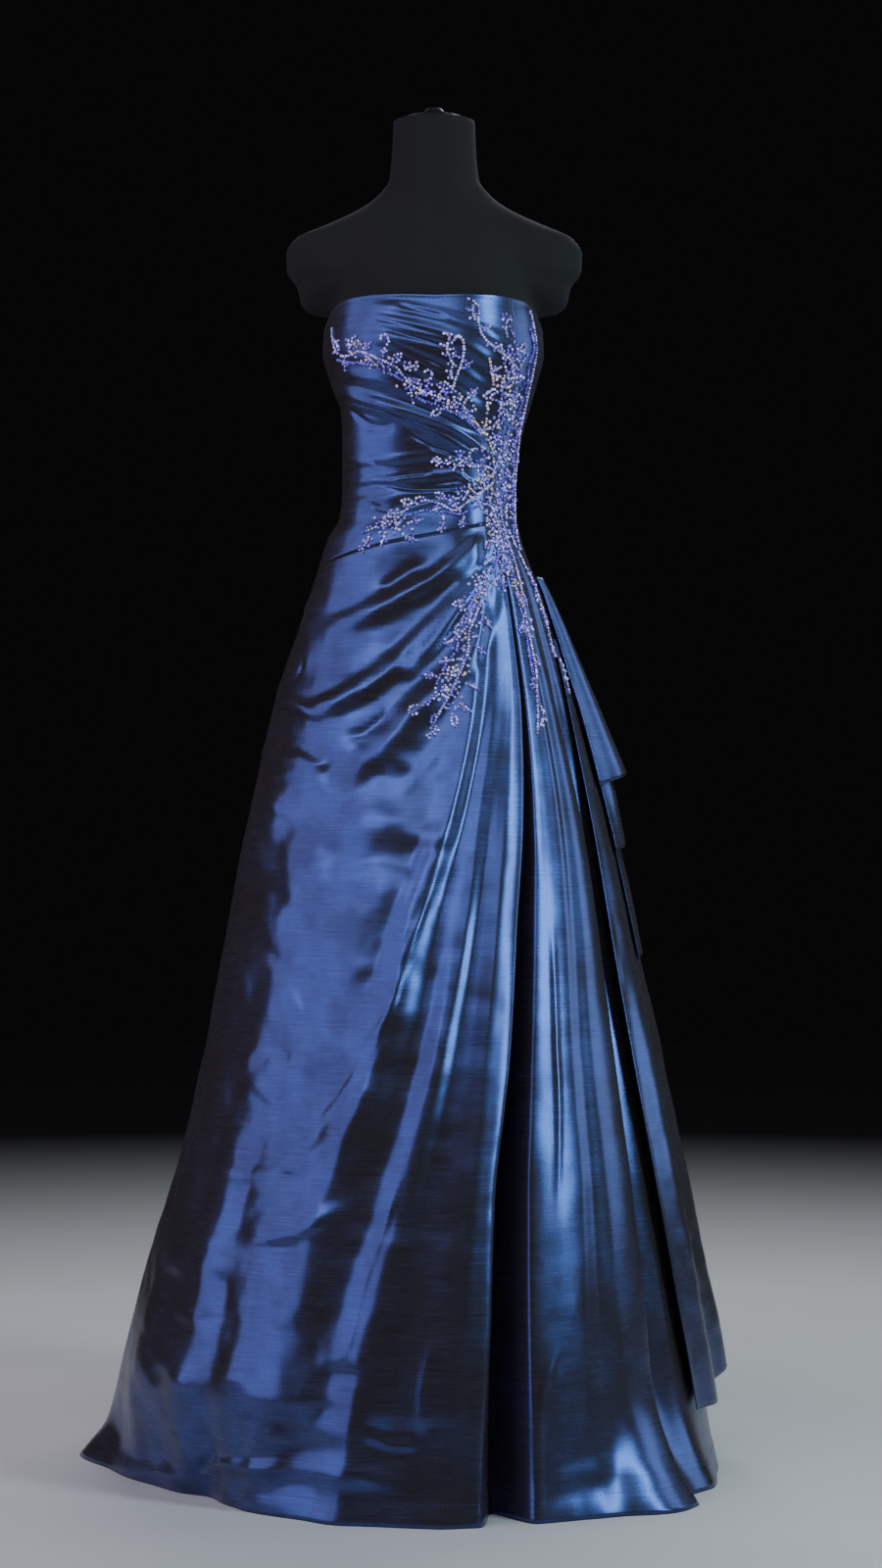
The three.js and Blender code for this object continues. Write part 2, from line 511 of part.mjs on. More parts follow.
function zipPull() {
  const side = new THREE.Shape(), steps = 14;
  const open = Math.asin(PULL.thick / 2 / PULL.eye);
  for (let k = 0; k <= steps; k++) {
    const a = -Math.PI / 2 + open + ((2 * Math.PI - 2 * open) * k) / steps;
    const x = PULL.eye * Math.cos(a), y = PULL.eye * Math.sin(a);
    if (k) side.lineTo(x, y); else side.moveTo(x, y);
  }
  const t = PULL.thick / 2, g = PULL.grip / 2, l = PULL.length;
  for (const [x, y] of [[-t, -l + 8], [-g, -l + 6], [-g, -l + 1], [-t, -l], [t, -l], [g, -l + 1], [g, -l + 6], [t, -l + 8]]) side.lineTo(x, y);
  side.closePath();
  const hole = new THREE.Path();
  for (let k = 0; k < 16; k++) {
    const a = (-2 * Math.PI * k) / 16;
    if (k) hole.lineTo(PULL.hole * Math.cos(a), PULL.hole * Math.sin(a));
    else hole.moveTo(PULL.hole, 0);
  }
  hole.closePath();
  side.holes.push(hole);
  const geometry = new THREE.ExtrudeGeometry(side, { depth: PULL.width, bevelEnabled: false });
  geometry.translate(0, 0, -PULL.width / 2);
  geometry.applyMatrix4(new THREE.Matrix4().makeBasis(new THREE.Vector3(0, 1, 0), new THREE.Vector3(0, 0, 1), new THREE.Vector3(1, 0, 0)));
  geometry.translate(0, pinY, ZIP_HEIGHT);
  return geometry;
}

const colours = { taffeta: 0x1c2a58, cover: 0x0c0c0e, metal: 0x3a3a3d, silver: 0xb9bcc2 };
const group = new THREE.Group();
function add(name, geometry, colour) {
  const mesh = new THREE.Mesh(geometry, new THREE.MeshStandardMaterial({ color: colours[colour] }));
  mesh.name = name;
  group.add(mesh);
}

add("dress_form", dressForm(), "cover");
add("neck_cap", turned([
  [0, NECK_TOP + SEAM], [38, NECK_TOP + SEAM], [40, NECK_TOP + 2], [38, NECK_TOP + 4], [8, NECK_TOP + 5],
  [6, NECK_TOP + 7], [KNOB_RADIUS - 2, NECK_TOP + 10], [KNOB_RADIUS, NECK_TOP + 13], [KNOB_RADIUS - 3, KNOB_TOP - 2], [0, KNOB_TOP],
], 20), "metal");
add("stand_pole", turned([
  [0, HUB_TOP + SEAM], [POLE_RADIUS, HUB_TOP + SEAM], [POLE_RADIUS, FORM_BOTTOM - SEAM], [0, FORM_BOTTOM - SEAM],
], 24), "metal");
add("stand_base", turned([
  [0, 0], [BASE_RADIUS - 2, 0], [BASE_RADIUS, 2], [BASE_RADIUS, BASE_THICK - 2], [BASE_RADIUS - 2, BASE_THICK],
  [HUB_RADIUS + 4, BASE_THICK + 1], [HUB_RADIUS, BASE_THICK + 4], [HUB_RADIUS - 8, HUB_TOP], [0, HUB_TOP],
], 36), "metal");

add("bodice_bust", bodicePiece({
  left: line(-90), right: princess, top: neckline, bottom: lower(rollSeam, half), columns: 25, rows: 10,
}), "taffeta");
add("bodice_midriff", bodicePiece({
  left: line(-90), right: princess, top: lower(rollSeam, -half), bottom: lower(hipSeam, half), columns: 25, rows: 10,
}), "taffeta");
add("bodice_side_right", bodicePiece({
  left: princess, right: line(90), top: neckline, bottom: lower(hipSeam, half), columns: 8, rows: 12,
}), "taffeta");
add("bodice_back_right", bodicePiece({
  left: line(90), right: line(180), top: neckline, bottom: lower(hipSeam, half), columns: 12, rows: 10,
}), "taffeta");
add("bodice_back_left", bodicePiece({
  left: line(-180), right: line(-90), top: neckline, bottom: lower(hipSeam, half), columns: 12, rows: 10,
}), "taffeta");

add("skirt_front_drape", skirtFront(0, DEEP_PLEAT), "taffeta");
add("skirt_front_right", skirtFront(DEEP_PLEAT, FOLDS.length - 1), "taffeta");
add("skirt_back_right", skirtBack(1), "taffeta");
add("skirt_back_left", skirtBack(-1), "taffeta");
for (const tier of CASCADE) add(tier.name, cascadeTier(tier), "taffeta");
add("cascade_tier_4", longTier(), "taffeta");

add("zip_slider", zipSlider(), "silver");
add("zip_pin", zipPin(), "silver");
add("zip_pull", zipPull(), "silver");

export default group;
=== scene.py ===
# %% [markdown]
# # An evening gown on its dress form
# The real thing is a strapless gown of shot taffeta: a pleated bodice that crosses to the
# right hip, a skirt that fans out from there, a cascade of loose tiers at the side, and
# sprays of glass beads. It stands on a black dress form without limbs.
# The CAD model is loaded first and stays a fixed frame. Each Blender piece is made in
# metres in the same frame, so it needs no fitting: +Z is up and the front faces -Y.

# %% Load the frame and keep its size
import math

import bpy
import numpy as np
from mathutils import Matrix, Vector
from mathutils.bvhtree import BVHTree


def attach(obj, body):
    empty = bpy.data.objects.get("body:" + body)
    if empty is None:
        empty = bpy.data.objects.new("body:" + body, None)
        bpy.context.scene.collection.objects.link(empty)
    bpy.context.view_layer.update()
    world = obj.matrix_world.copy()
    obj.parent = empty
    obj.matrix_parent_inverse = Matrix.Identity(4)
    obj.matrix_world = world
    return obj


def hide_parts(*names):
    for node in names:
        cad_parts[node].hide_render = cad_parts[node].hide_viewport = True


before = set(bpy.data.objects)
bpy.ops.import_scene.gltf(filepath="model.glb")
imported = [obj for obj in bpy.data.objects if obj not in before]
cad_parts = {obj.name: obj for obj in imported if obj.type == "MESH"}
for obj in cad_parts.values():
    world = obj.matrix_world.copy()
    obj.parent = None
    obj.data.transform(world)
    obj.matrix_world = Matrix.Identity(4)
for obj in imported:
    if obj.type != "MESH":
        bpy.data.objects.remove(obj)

scene = bpy.context.scene
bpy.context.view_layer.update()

# %% [markdown]
# ## The camera
# A camera's lens and height decide how much of the skirt's curve is seen. The hem's ellipse
# on the floor says that the photograph was taken from 0.7 m up and 3.5 m away, looking
# level. The gown's middle stands a little left of the picture's, and the horizon a little
# below it, so the lens is shifted and not tilted, which keeps upright lines upright.

# %% Camera
FRAME_HEIGHT = 1600                 # pixels of the photograph, bottom to top
FOCAL_PIXELS = 2900
CAMERA_AWAY, CAMERA_UP = 3.5, 0.7
SENSOR = 36                         # mm
AXIS_LEFT, HORIZON_DOWN = 7, 103    # pixels from the middle of the picture


def make_camera():
    lens = bpy.data.cameras.new("camera")
    lens.sensor_width = SENSOR
    lens.lens = FOCAL_PIXELS / FRAME_HEIGHT * SENSOR
    lens.shift_x = AXIS_LEFT / FRAME_HEIGHT
    lens.shift_y = HORIZON_DOWN / FRAME_HEIGHT
    camera = bpy.data.objects.new("camera", lens)
    camera.location = (0, -CAMERA_AWAY, CAMERA_UP)
    camera.rotation_euler = (math.radians(90), 0, 0)
    scene.collection.objects.link(camera)
    scene.camera = camera
    print("lens in mm:", round(lens.lens, 2))


make_camera()

# %% [markdown]
# ## The gown's form as tables
# A dressmaker drafts a gown from measures round the body at several heights. The same is
# done here: each row gives the half sizes of the gown's section in millimetres, and a
# smooth curve runs through the rows. A place on the cloth is then a turn in degrees round
# the axis, 0 at the front and positive to the viewer's right, and a height.

# %% Half sizes of the section by height
MM = 0.001
SECTIONS = [  # height, left, right, front, back
    (0, 436, 345, 408, 470), (45, 402, 336, 394, 446), (137, 379, 325, 378, 425),
    (262, 345, 308, 350, 390), (366, 313, 290, 322, 358), (479, 286, 268, 290, 320),
    (583, 266, 248, 258, 286), (728, 240, 220, 212, 236), (821, 220, 198, 180, 198),
    (934, 193, 168, 142, 155), (1000, 171, 149, 121, 133), (1055, 153, 133, 107, 117),
    (1098, 139, 116, 98, 105), (1125, 130, 107, 92, 97), (1150, 117, 102, 86, 88),
    (1186, 113, 101, 83, 82), (1245, 113, 107, 90, 84), (1283, 115, 117, 98, 88),
    (1318, 128, 127, 108, 92), (1355, 137, 135, 116, 95), (1380, 135, 133, 112, 94),
    (1415, 127, 126, 104, 92),
]


def slopes_between(slope):
    """The slope at each inner point of a curve, which is flat where the curve turns back."""
    before, after = slope[:-1], slope[1:]
    same_way = before * after > 0
    return np.where(same_way, 2 * before * after / np.where(same_way, before + after, 1), 0)


def bridge(f, width, low, high, low_slope, high_slope):
    """The curve from one point to the next, at a share f of the way."""
    g = 1 - f
    return (low * g * g * (1 + 2 * f) + high * f * f * (1 + 2 * g)
            + width * f * g * (low_slope * g - high_slope * f))


def smooth(heights, values):
    """A smooth curve through points that never swings past them."""
    xs, ys = np.array(heights, float), np.array(values, float)
    slope = np.diff(ys) / np.diff(xs)
    tangent = slopes_between(np.r_[slope[0], slope, slope[-1]])

    def at(x):
        x = np.clip(x, xs[0], xs[-1])
        i = np.clip(np.searchsorted(xs, x) - 1, 0, len(xs) - 2)
        width = xs[i + 1] - xs[i]
        return bridge((x - xs[i]) / width, width, ys[i], ys[i + 1], tangent[i], tangent[i + 1])
    return at


heights = [row[0] for row in SECTIONS]
half_left, half_right, half_front, half_back = (
    smooth(heights, [row[k] for row in SECTIONS]) for k in (1, 2, 3, 4))


def place(turn, z, out=0.0):
    """Points in metres at a turn and height, moved out from the plain form."""
    s, c = np.sin(np.radians(turn)), np.cos(np.radians(turn))
    a = np.where(s < 0, half_left(z), half_right(z))
    d = np.where(c > 0, half_front(z), half_back(z))
    length = np.hypot(s / a, c / d)
    return np.stack([a * s + out * s / a / length, -d * c - out * c / d / length,
                     z + 0 * s], axis=-1) * MM


def girth(z):
    """Millimetres of cloth to one degree of turn, about."""
    return np.radians(half_left(z) + half_right(z) + 2 * half_front(z)) / 4


print("hem in metres:", place(np.array([-90, 0, 90, 180.0]), np.zeros(4)).round(3).tolist())

# %% [markdown]
# ## Edges and seams
# A seam is a line on the form, so it is a table too: a height for each turn, or for the
# princess seam, which runs down the body, a turn for each height. Two panels that share a
# table meet exactly. The hem's table says how far it kicks out or tucks in at each turn.

# %% Edges and seams by turn
NECKLINE = [
    (-180, 1368), (-135, 1370), (-105, 1374), (-90, 1380), (-80, 1386), (-75, 1393),
    (-70, 1402), (-60, 1410), (-35, 1410), (0, 1406), (35, 1410), (60, 1409), (70, 1402),
    (75, 1393), (80, 1386), (90, 1380), (105, 1374), (135, 1370), (180, 1368),
]
HIP_SEAM = [(-180, 1122), (-90, 1085), (90, 1160), (180, 1122)]
ROLL_SEAM = [(-90, 1298), (-60, 1286), (-30, 1268), (0, 1246), (30, 1220), (60, 1196)]
PRINCESS_SEAM = [(1150, 38), (1410, 47)]
HEM_OUT = [
    (-180, 0), (-90, 0), (-75, -33), (-60, -50), (-45, -58), (-30, -28), (-20, -10), (-8, 0),
    (19, 0), (30, 6), (45, 46), (60, 34), (75, 8), (90, 0), (180, 0),
]
HEM_REACH = 150       # mm above the floor where the hem starts to kick out


def straight(table):
    xs, ys = zip(*table)
    return lambda x: np.interp(x, xs, ys)


neckline, hip_seam, roll_seam, princess = map(
    straight, (NECKLINE, HIP_SEAM, ROLL_SEAM, PRINCESS_SEAM))
hem_out = smooth(*zip(*HEM_OUT))


def hem_rise(turn, z):
    return np.where(z < HEM_REACH, hem_out(turn) * (1 - np.minimum(z / HEM_REACH, 1)) ** 2, 0)


print("neckline at the front, mm:", float(neckline(0)), "hip seam:", float(hip_seam(0)))

# %% [markdown]
# ## Folds of the skirt
# The skirt hangs in unequal pleats that start at the right hip, so no wave formula gives
# them. Each fold is a named row: its turn at nine heights, because it drifts to the left as
# it falls, and how far it stands out at six. A row with a negative rise is a hollow.

# %% Fold table
TURN_HEIGHTS = [0, 60, 200, 350, 500, 650, 800, 950, 1120]
RISE_HEIGHTS = [0, 200, 500, 800, 950, 1120]
FOLDS = [
    ("left side seam", [-90] * 9, [0] * 6),
    ("left hollow", [-77, -77, -77, -77, -78, -78, -78, -78, -78], [-2, -2, -1, 0, 0, 0]),
    ("left flute", [-66, -66, -66, -64, -63, -62, -62, -64, -66], [2, 2, 1.5, 1, 0.5, 0.3]),
    ("hollow beside it", [-58, -58, -58, -56, -54, -52, -52, -52, -52], [0, 0.5, 0.5, 0.5, 0.3, 0.2]),
    ("broad flute", [-50, -50, -50, -49, -47, -45, -44, -42, -38], [4, 3, 2, 1, 1, 1]),
    ("broad hollow", [-43, -43, -43, -42, -34, -28, -24, -20, -15], [-5, -4, -2, -2, -1, 0]),
    ("drape edge", [-37, -37, -36, -32, -21, -13, -2, 6, 12], [1, 2, 0, 0, 0, 0]),
    ("drape hollow", [-34, -34, -32, -28, -17, -9.5, 2, 11, 19], [0, 1, 5, 4, 1.5, 0]),
    ("pleat 1", [-31, -31, -28, -23, -13.3, -6.5, 6, 17, 27], [2, 3, 10, 8, 4, 1]),
    ("between 1 and 2", [-21, -20, -18, -12.5, -4.5, 1.5, 12, 23, 33], [-4, -5, -6, -2, 0, 0]),
    ("pleat 2", [-15, -14, -11, -5.5, 1, 8.5, 15.5, 27.2, 36], [4, 4, 4, 2, 1, 0.5]),
    ("between 2 and 3", [-9, -8, -5, -1, 5.5, 12, 18.8, 30, 38], [-1, -1, -2, 2.5, 1.5, 0.5]),
    ("pleat 3", [-2, -1, 2, 6, 10, 15, 22, 32.2, 39.2], [4, 5, 5, 4, 2, 0.7]),
    ("between 3 and 4", [1.5, 2.4, 5, 8.3, 12.2, 17.8, 25.2, 34.2, 40.4], [7, 8, 8.5, 5.5, 2.5, 1]),
    ("pleat 4", [4.8, 5.4, 7.8, 10.6, 14.8, 20.5, 28.3, 36, 41.6], [5, 6, 7.5, 5, 2.5, 1]),
    ("deep pleat, left lip", [8, 8.4, 10.6, 12.9, 18.5, 23.5, 30.6, 37.6, 42.6], [4, 4, 5, 3, 1.5, 0.5]),
    ("deep pleat, bottom", [13.5, 14, 15, 17.2, 21.8, 26.5, 32.6, 38.8, 43.4],
        [-60, -64, -60, -38, -9, -0.5]),
    ("deep pleat, right lip", [19, 19.3, 20, 21.5, 25, 29.5, 34.6, 40, 44.2], [3, 3, 4, 3, 1.5, 0.5]),
    ("pleat 5", [23, 23, 24.4, 27, 29.4, 33, 38, 42, 45.6], [4, 5, 6, 5, 2.5, 1]),
    ("between 5 and 6", [27, 27, 27.5, 30.1, 32.2, 36, 40.4, 44, 47], [4, 6, 8, 6, 3, 1]),
    ("pleat 6", [31, 31, 31.2, 33.5, 35.2, 39, 43, 46.2, 48.6], [6, 7, 9, 7, 3.5, 1]),
    ("between 6 and 7", [36, 36, 36, 37.3, 38.8, 42.5, 46.4, 49.2, 51], [2, 3, 6.5, 4.5, 2, 1]),
    ("pleat 7", [42, 42, 41, 41.5, 42.6, 46.4, 50, 52.4, 53.6], [5, 6, 8.5, 6, 3, 1]),
    ("side pleat, lip", [49, 49, 49.5, 50.6, 52, 54.4, 56.4, 57, 56.4], [2, 2, 3, 2, 1, 0.5]),
    ("side pleat, bottom", [55, 55, 55, 55.4, 57, 59, 61.4, 62.4, 60.4], [-24, -26, -24, -15, -6, -0.5]),
    ("under the cascade", [63, 63, 62, 62, 63, 65, 67.5, 68, 66], [-8, -10, -10, -6, -2, 0]),
    ("right side seam", [90] * 9, [0] * 6),
]
DEEP_PLEAT = 16       # row of the deep pleat's bottom, where the two panels meet
PLEATS_OPEN = 30      # mm below the hip seam over which the pleats open
fold_turn = [smooth(TURN_HEIGHTS, fold[1]) for fold in FOLDS]
fold_rise = [smooth(RISE_HEIGHTS, fold[2]) for fold in FOLDS]


def skirt_rise(turn, z):
    """How far the pleated front stands out, at any turn and height."""
    turns = np.stack([curve(z) for curve in fold_turn])
    rises = np.stack([curve(z) for curve in fold_rise])
    tangent = np.zeros_like(rises)
    tangent[1:-1] = slopes_between(np.diff(rises, axis=0) / np.diff(turns, axis=0))
    k = np.clip((turns <= turn).sum(0) - 1, 0, len(FOLDS) - 2)[None]
    t0, t1, r0, r1, m0, m1 = (
        np.take_along_axis(rows, k + step, 0)[0]
        for rows in (turns, rises, tangent) for step in (0, 1))
    f = np.clip((turn - t0) / (t1 - t0), 0, 1)
    rise = bridge(f, t1 - t0, r0, r1, m0, m1)
    return rise * np.clip((hip_seam(turn) - z) / PLEATS_OPEN, 0, 1)


print(len(FOLDS), "folds across the front of the skirt")

# %% [markdown]
# ## Folds that cross the cloth
# On the bodice and over the hip the taffeta is pulled sideways, so its folds run across.
# Each one is a stroke: how far it stands out, half its width, both in millimetres, and a
# path of turns and heights. The broad ones are in the CAD model too. The fine ones are
# creases that only this mesh is dense enough to hold. They are placed one by one, because
# crushed taffeta is uneven and a repeated wave would look stamped.

# %% Broad folds
DRAPES = [
    ("neckline pleat", 1.4, 11, [(-42, 1397), (-15, 1389), (10, 1376), (28, 1362), (44, 1350)]),
    ("bust pleat 1", 1.5, 13, [(-50, 1382), (-20, 1372), (5, 1354), (25, 1333), (42, 1316)]),
    ("bust pleat 2", 1.7, 13, [(-54, 1364), (-25, 1352), (0, 1332), (20, 1307), (40, 1286)]),
    ("bust pleat 3", 2.0, 13, [(-60, 1344), (-28, 1330), (-5, 1310), (18, 1283), (40, 1256)]),
    ("bust pleat 4", 2.4, 12, [(-66, 1322), (-35, 1306), (-10, 1286), (14, 1262), (38, 1236)]),
    ("roll under the bust", 7, 15, [(-96, 1306), (-60, 1292), (-30, 1274), (0, 1252), (30, 1227),
        (50, 1210)]),
    ("waist pleat 1", 2, 10, [(-84, 1222), (-40, 1212), (0, 1216), (28, 1212)]),
    ("waist pleat 2", 2, 10, [(-84, 1192), (-40, 1190), (0, 1192), (30, 1198)]),
    ("waist pleat 3", 2, 10, [(-80, 1164), (-35, 1166), (5, 1174), (32, 1186)]),
    ("hip roll", 1.2, 26, [(-74, 1100), (-45, 1100), (-10, 1122), (18, 1150), (38, 1172)]),
    ("hip drape 1", 6, 22, [(36, 1136), (10, 1084), (-14, 1046), (-36, 1018), (-62, 1004)]),
    ("hip drape 2", 8, 20, [(38, 1120), (12, 1040), (-6, 986), (-22, 944), (-40, 912), (-64, 900)]),
    ("hip drape 3", 6, 22, [(40, 1096), (22, 1010), (8, 950), (-8, 900), (-22, 846), (-36, 806)]),
    ("thigh fold 1", 4, 14, [(-88, 944), (-66, 922), (-44, 912)]),
    ("thigh fold 2", 4, 15, [(-88, 868), (-64, 852), (-34, 846)]),
    ("thigh fold 3", 3, 14, [(-86, 812), (-62, 800), (-40, 770)]),
    ("knee fold", 2, 14, [(-70, 492), (-50, 478), (-34, 440)]),
    ("drape sweep 1", 2.5, 16, [(-66, 384), (-46, 366), (-30, 384), (-20, 420)]),
    ("drape sweep 2", 2.5, 16, [(-66, 306), (-44, 288), (-28, 310), (-14, 352)]),
    ("hem break", 2.5, 18, [(-58, 44), (-36, 48), (-16, 52), (2, 40)]),
    ("hem break, right", 1, 18, [(20, 44), (34, 50), (48, 40)]),
]
print(len(DRAPES), "broad folds")

# %% Fine creases of the bodice and the hip
BODICE_CREASES = [
    ("neckline crease", -1.1, 5, [(-21, 1395), (-8, 1386), (9, 1376)]),
    ("bust crease 1", -1.1, 5, [(-38, 1383), (-20, 1371), (-4, 1360), (14, 1348)]),
    ("bust crease 2", -1.5, 5, [(-28, 1368), (-14, 1356), (1, 1346), (12, 1336)]),
    ("bust crease 3", -1.6, 6, [(-26, 1352), (-14, 1338), (-2, 1326), (10, 1317)]),
    ("bust crease 4", -1.8, 6, [(-33, 1334), (-20, 1323), (-7, 1308), (8, 1290), (21, 1278)]),
    ("bust crest", 1.6, 6, [(-25, 1346), (-8, 1329), (8, 1308)]),
    ("under-bust crease", -2.2, 6, [(-68, 1287), (-47, 1260), (-37, 1254), (-25, 1251)]),
    ("roll crest", 3, 7, [(-9, 1251), (4, 1236), (18, 1224), (33, 1215)]),
    ("roll upper crease", -3, 7, [(-25, 1269), (-9, 1256), (9, 1244), (23, 1230), (32, 1222)]),
    ("roll lower crease", -2, 6, [(-21, 1250), (-9, 1236), (4, 1224), (20, 1214), (33, 1209)]),
    ("midriff crease 1", -1.4, 5, [(-51, 1245), (-40, 1246), (-31, 1246), (-25, 1251)]),
    ("midriff crease 2", -1.3, 5, [(-47, 1224), (-42, 1215), (-37, 1208), (-28, 1206)]),
    ("midriff crease 3", -1.3, 5, [(-46, 1170), (-39, 1158), (-30, 1152), (-19, 1155)]),
    ("waist crease 1", -2.2, 4.5, [(-49, 1194), (-31, 1191), (-14, 1194), (1, 1196)]),
    ("waist crease 2", -2.2, 4.5, [(-49, 1188), (-28, 1182), (-12, 1176), (4, 1176), (20, 1179)]),
    ("waist crease 3", -1.5, 4.5, [(-19, 1155), (-9, 1161), (1, 1166), (12, 1168)]),
    ("waist crest, right", 2, 6, [(15, 1198), (24, 1186), (37, 1180)]),
    ("waist crease, right", -2, 5, [(10, 1180), (21, 1174), (34, 1173)]),
    ("hip crease 1", -2.5, 10, [(38, 1138), (22, 1116), (8, 1092), (-3, 1072), (-7, 1062)]),
    ("hip crease 2", -2, 9, [(41, 1110), (27, 1083), (18, 1060)]),
    ("midriff band", 0.8, 14, [(-50, 1108), (-35, 1125), (-18, 1134), (1, 1140)]),
    ("back crease 1", -1.2, 8, [(-108, 1200), (-128, 1188), (-152, 1192)]),
    ("back crease 2", -1.2, 8, [(106, 1186), (126, 1180), (156, 1192)]),
    ("back crease 3", -1, 8, [(110, 1238), (128, 1228), (150, 1230)]),
    ("back crease 4", -1, 8, [(-106, 1234), (-126, 1228), (-148, 1240)]),
]
print(len(BODICE_CREASES), "fine creases of the bodice and the hip")

# %% Fine creases of the skirt
SKIRT_CREASES = [
    ("fan crease 1", -4.5, 13, [(35, 1096), (20, 1068), (8, 1026), (-3, 992), (-9, 969), (-12, 951)]),
    ("fan crest 0", 2.5, 12, [(14, 1095), (2, 1076), (-7, 1054), (-16, 1038)]),
    ("fan hollow 0", -2.5, 13, [(-3, 1090), (-12, 1074), (-20, 1058), (-23, 1047)]),
    ("fan crest 1", 4.5, 14, [(24, 1070), (12, 1034), (2, 996), (-8, 957), (-11, 936)]),
    ("broad crest", 6, 30, [(6, 957), (-4, 909), (-12, 861), (-14, 824)]),
    ("thin crest", 1.2, 8, [(5, 879), (0, 852), (-6, 824), (-10, 802)]),
    ("side fold 1", 2.5, 8, [(-76, 928), (-57, 920), (-46, 906), (-36, 898)]),
    ("side fold 2", -1.6, 7, [(-86, 942), (-66, 945), (-60, 962), (-67, 981)]),
    ("side fold 3", 2.5, 8, [(-70, 828), (-54, 834), (-42, 840), (-32, 844)]),
    ("side fold 4", -1.8, 7, [(-71, 870), (-56, 862), (-49, 864), (-38, 848)]),
    ("side pinch", 2, 5, [(-80, 1052), (-82, 1040), (-84, 1034)]),
    ("cross crease 1", -2, 6, [(-29, 926), (-25, 938), (-20, 951), (-15, 969)]),
    ("cross crease 2", -2, 6, [(-32, 874), (-24, 880), (-18, 894), (-14, 906)]),
    ("stripe 1, left line", 1.6, 6, [(3, 738), (-3, 669), (-8, 609), (-10, 560), (-15, 524),
        (-19, 478), (-23, 435)]),
    ("stripe 3, left line", 1.2, 6, [(35, 669), (32, 543), (30, 438), (27, 321)]),
    ("panel hollow 1", -2.2, 16, [(-51, 624), (-40, 597), (-31, 550)]),
    ("panel hollow 2", -1.8, 12, [(-44, 520), (-36, 494)]),
    ("panel fold", -2, 7, [(-56, 382), (-46, 381), (-36, 374), (-30, 364)]),
    ("knee crease 1", -1.8, 8, [(-47, 290), (-37, 291), (-26, 294)]),
    ("knee crease 2", -1.2, 6, [(-50, 202), (-43, 204), (-36, 207)]),
    ("blue edge", 1.5, 7, [(-6, 396), (-9, 336), (-13, 260), (-15, 195), (-18, 154)]),
    ("hem puddle 1", 4, 9, [(-47, 21), (-41, 40), (-32, 48), (-25, 52)]),
    ("hem puddle 3", 3, 8, [(-12, 99), (-7, 86), (-2, 87)]),
    ("hem dip", -3, 9, [(-46, 26), (-44, 45), (-41, 57)]),
    ("low line 2", 1.5, 7, [(0, 202), (-2, 144), (-2, 92)]),
    ("low line 3", 1.8, 8, [(26, 192), (21, 130), (20, 51), (19, 12)]),
    ("thin curved line", 1.2, 6, [(0, 700), (-6, 620), (-12, 540), (-18, 480), (-26, 430), (-32, 400)]),
]
FRONT_STROKES = DRAPES + BODICE_CREASES + SKIRT_CREASES
print(len(SKIRT_CREASES), "fine creases of the skirt")


# %% From strokes to relief
def soft_step(f):
    """From 0 to 1 with a soft start and a soft end."""
    return f * f * (3 - 2 * f)


def flowing(path, parts=4):
    """The same path with more points, on a curve through the given ones."""
    p = np.array(path, float)
    ends = np.vstack([2 * p[0] - p[1], p, 2 * p[-1] - p[-2]])
    made = []
    for a, b, c, d in zip(ends, ends[1:], ends[2:], ends[3:]):
        for f in np.arange(parts) / parts:
            made.append(0.5 * (2 * b + (c - a) * f + (2 * a - 5 * b + 4 * c - d) * f ** 2
                               + (3 * b - a - 3 * c + d) * f ** 3))
    return np.array(made + [p[-1]])


def stroke_rise(turn, z, strokes, fade_share):
    """The strokes' rises added up. Each one fades over a share of its length at its ends."""
    total = np.zeros(np.shape(turn))
    flat_x = turn * girth(z)
    for _, rise, half, path in strokes:
        p = flowing(path)
        px, pz = p[:, 0] * girth(p[:, 1]), p[:, 1]
        near = ((flat_x > px.min() - half) & (flat_x < px.max() + half)
                & (z > pz.min() - half) & (z < pz.max() + half))
        x, y = flat_x[near], z[near]
        nearest, along = np.full(x.shape, np.inf), np.zeros(x.shape)
        last = len(p) - 1
        for k in range(last):
            dx, dz = px[k + 1] - px[k], pz[k + 1] - pz[k]
            f = np.clip(((x - px[k]) * dx + (y - pz[k]) * dz) / (dx * dx + dz * dz), 0, 1)
            far = np.hypot(x - px[k] - f * dx, y - pz[k] - f * dz)
            closer = far < nearest
            nearest = np.where(closer, far, nearest)
            along = np.where(closer, (k + f) / last, along)
        fade = soft_step(np.minimum(1, np.minimum(along, 1 - along) / fade_share))
        total[near] += rise * np.cos(np.pi / 2 * np.minimum(nearest / half, 1)) ** 2 * fade
    return total


print("rise in mm at one place:", stroke_rise(np.array([0.0]), np.array([1250.0]), DRAPES, 0.25).round(2))

# %% [markdown]
# ## Crushed grain of the taffeta
# Taffeta is crisp, so between its folds it never lies quite flat: it breaks into small
# facets, and the edge of each highlight is ragged. Sheets of smoothed random values, made
# from one fixed seed, give that: a soft one, a crisp one and a tiny one, wider across the
# cloth than down it. Each piece scales them by how loose its cloth is. At the hip seam and
# the centre back both sides take the same value, because a step would show there.

# %% Seeded random relief
SEED = 41
CELLS = 64            # cells of a random sheet each way, before it repeats


def random_sheet(u, v, cell_u, cell_v, seed):
    """Values from -1 to 1 that change smoothly over cells of the given size in mm."""
    grid = np.random.default_rng(SEED + seed).uniform(-1, 1, (CELLS, CELLS))
    x, y = u / cell_u, v / cell_v
    i, j = np.floor(x).astype(int), np.floor(y).astype(int)
    f, g = x - i, y - j
    f, g = (share * share * share * (share * (share * 6 - 15) + 10) for share in (f, g))
    near, near_up, far, far_up = (
        grid[(i + a) % CELLS, (j + b) % CELLS] for a in (0, 1) for b in (0, 1))
    return (near * (1 - f) + far * f) * (1 - g) + (near_up * (1 - f) + far_up * f) * g


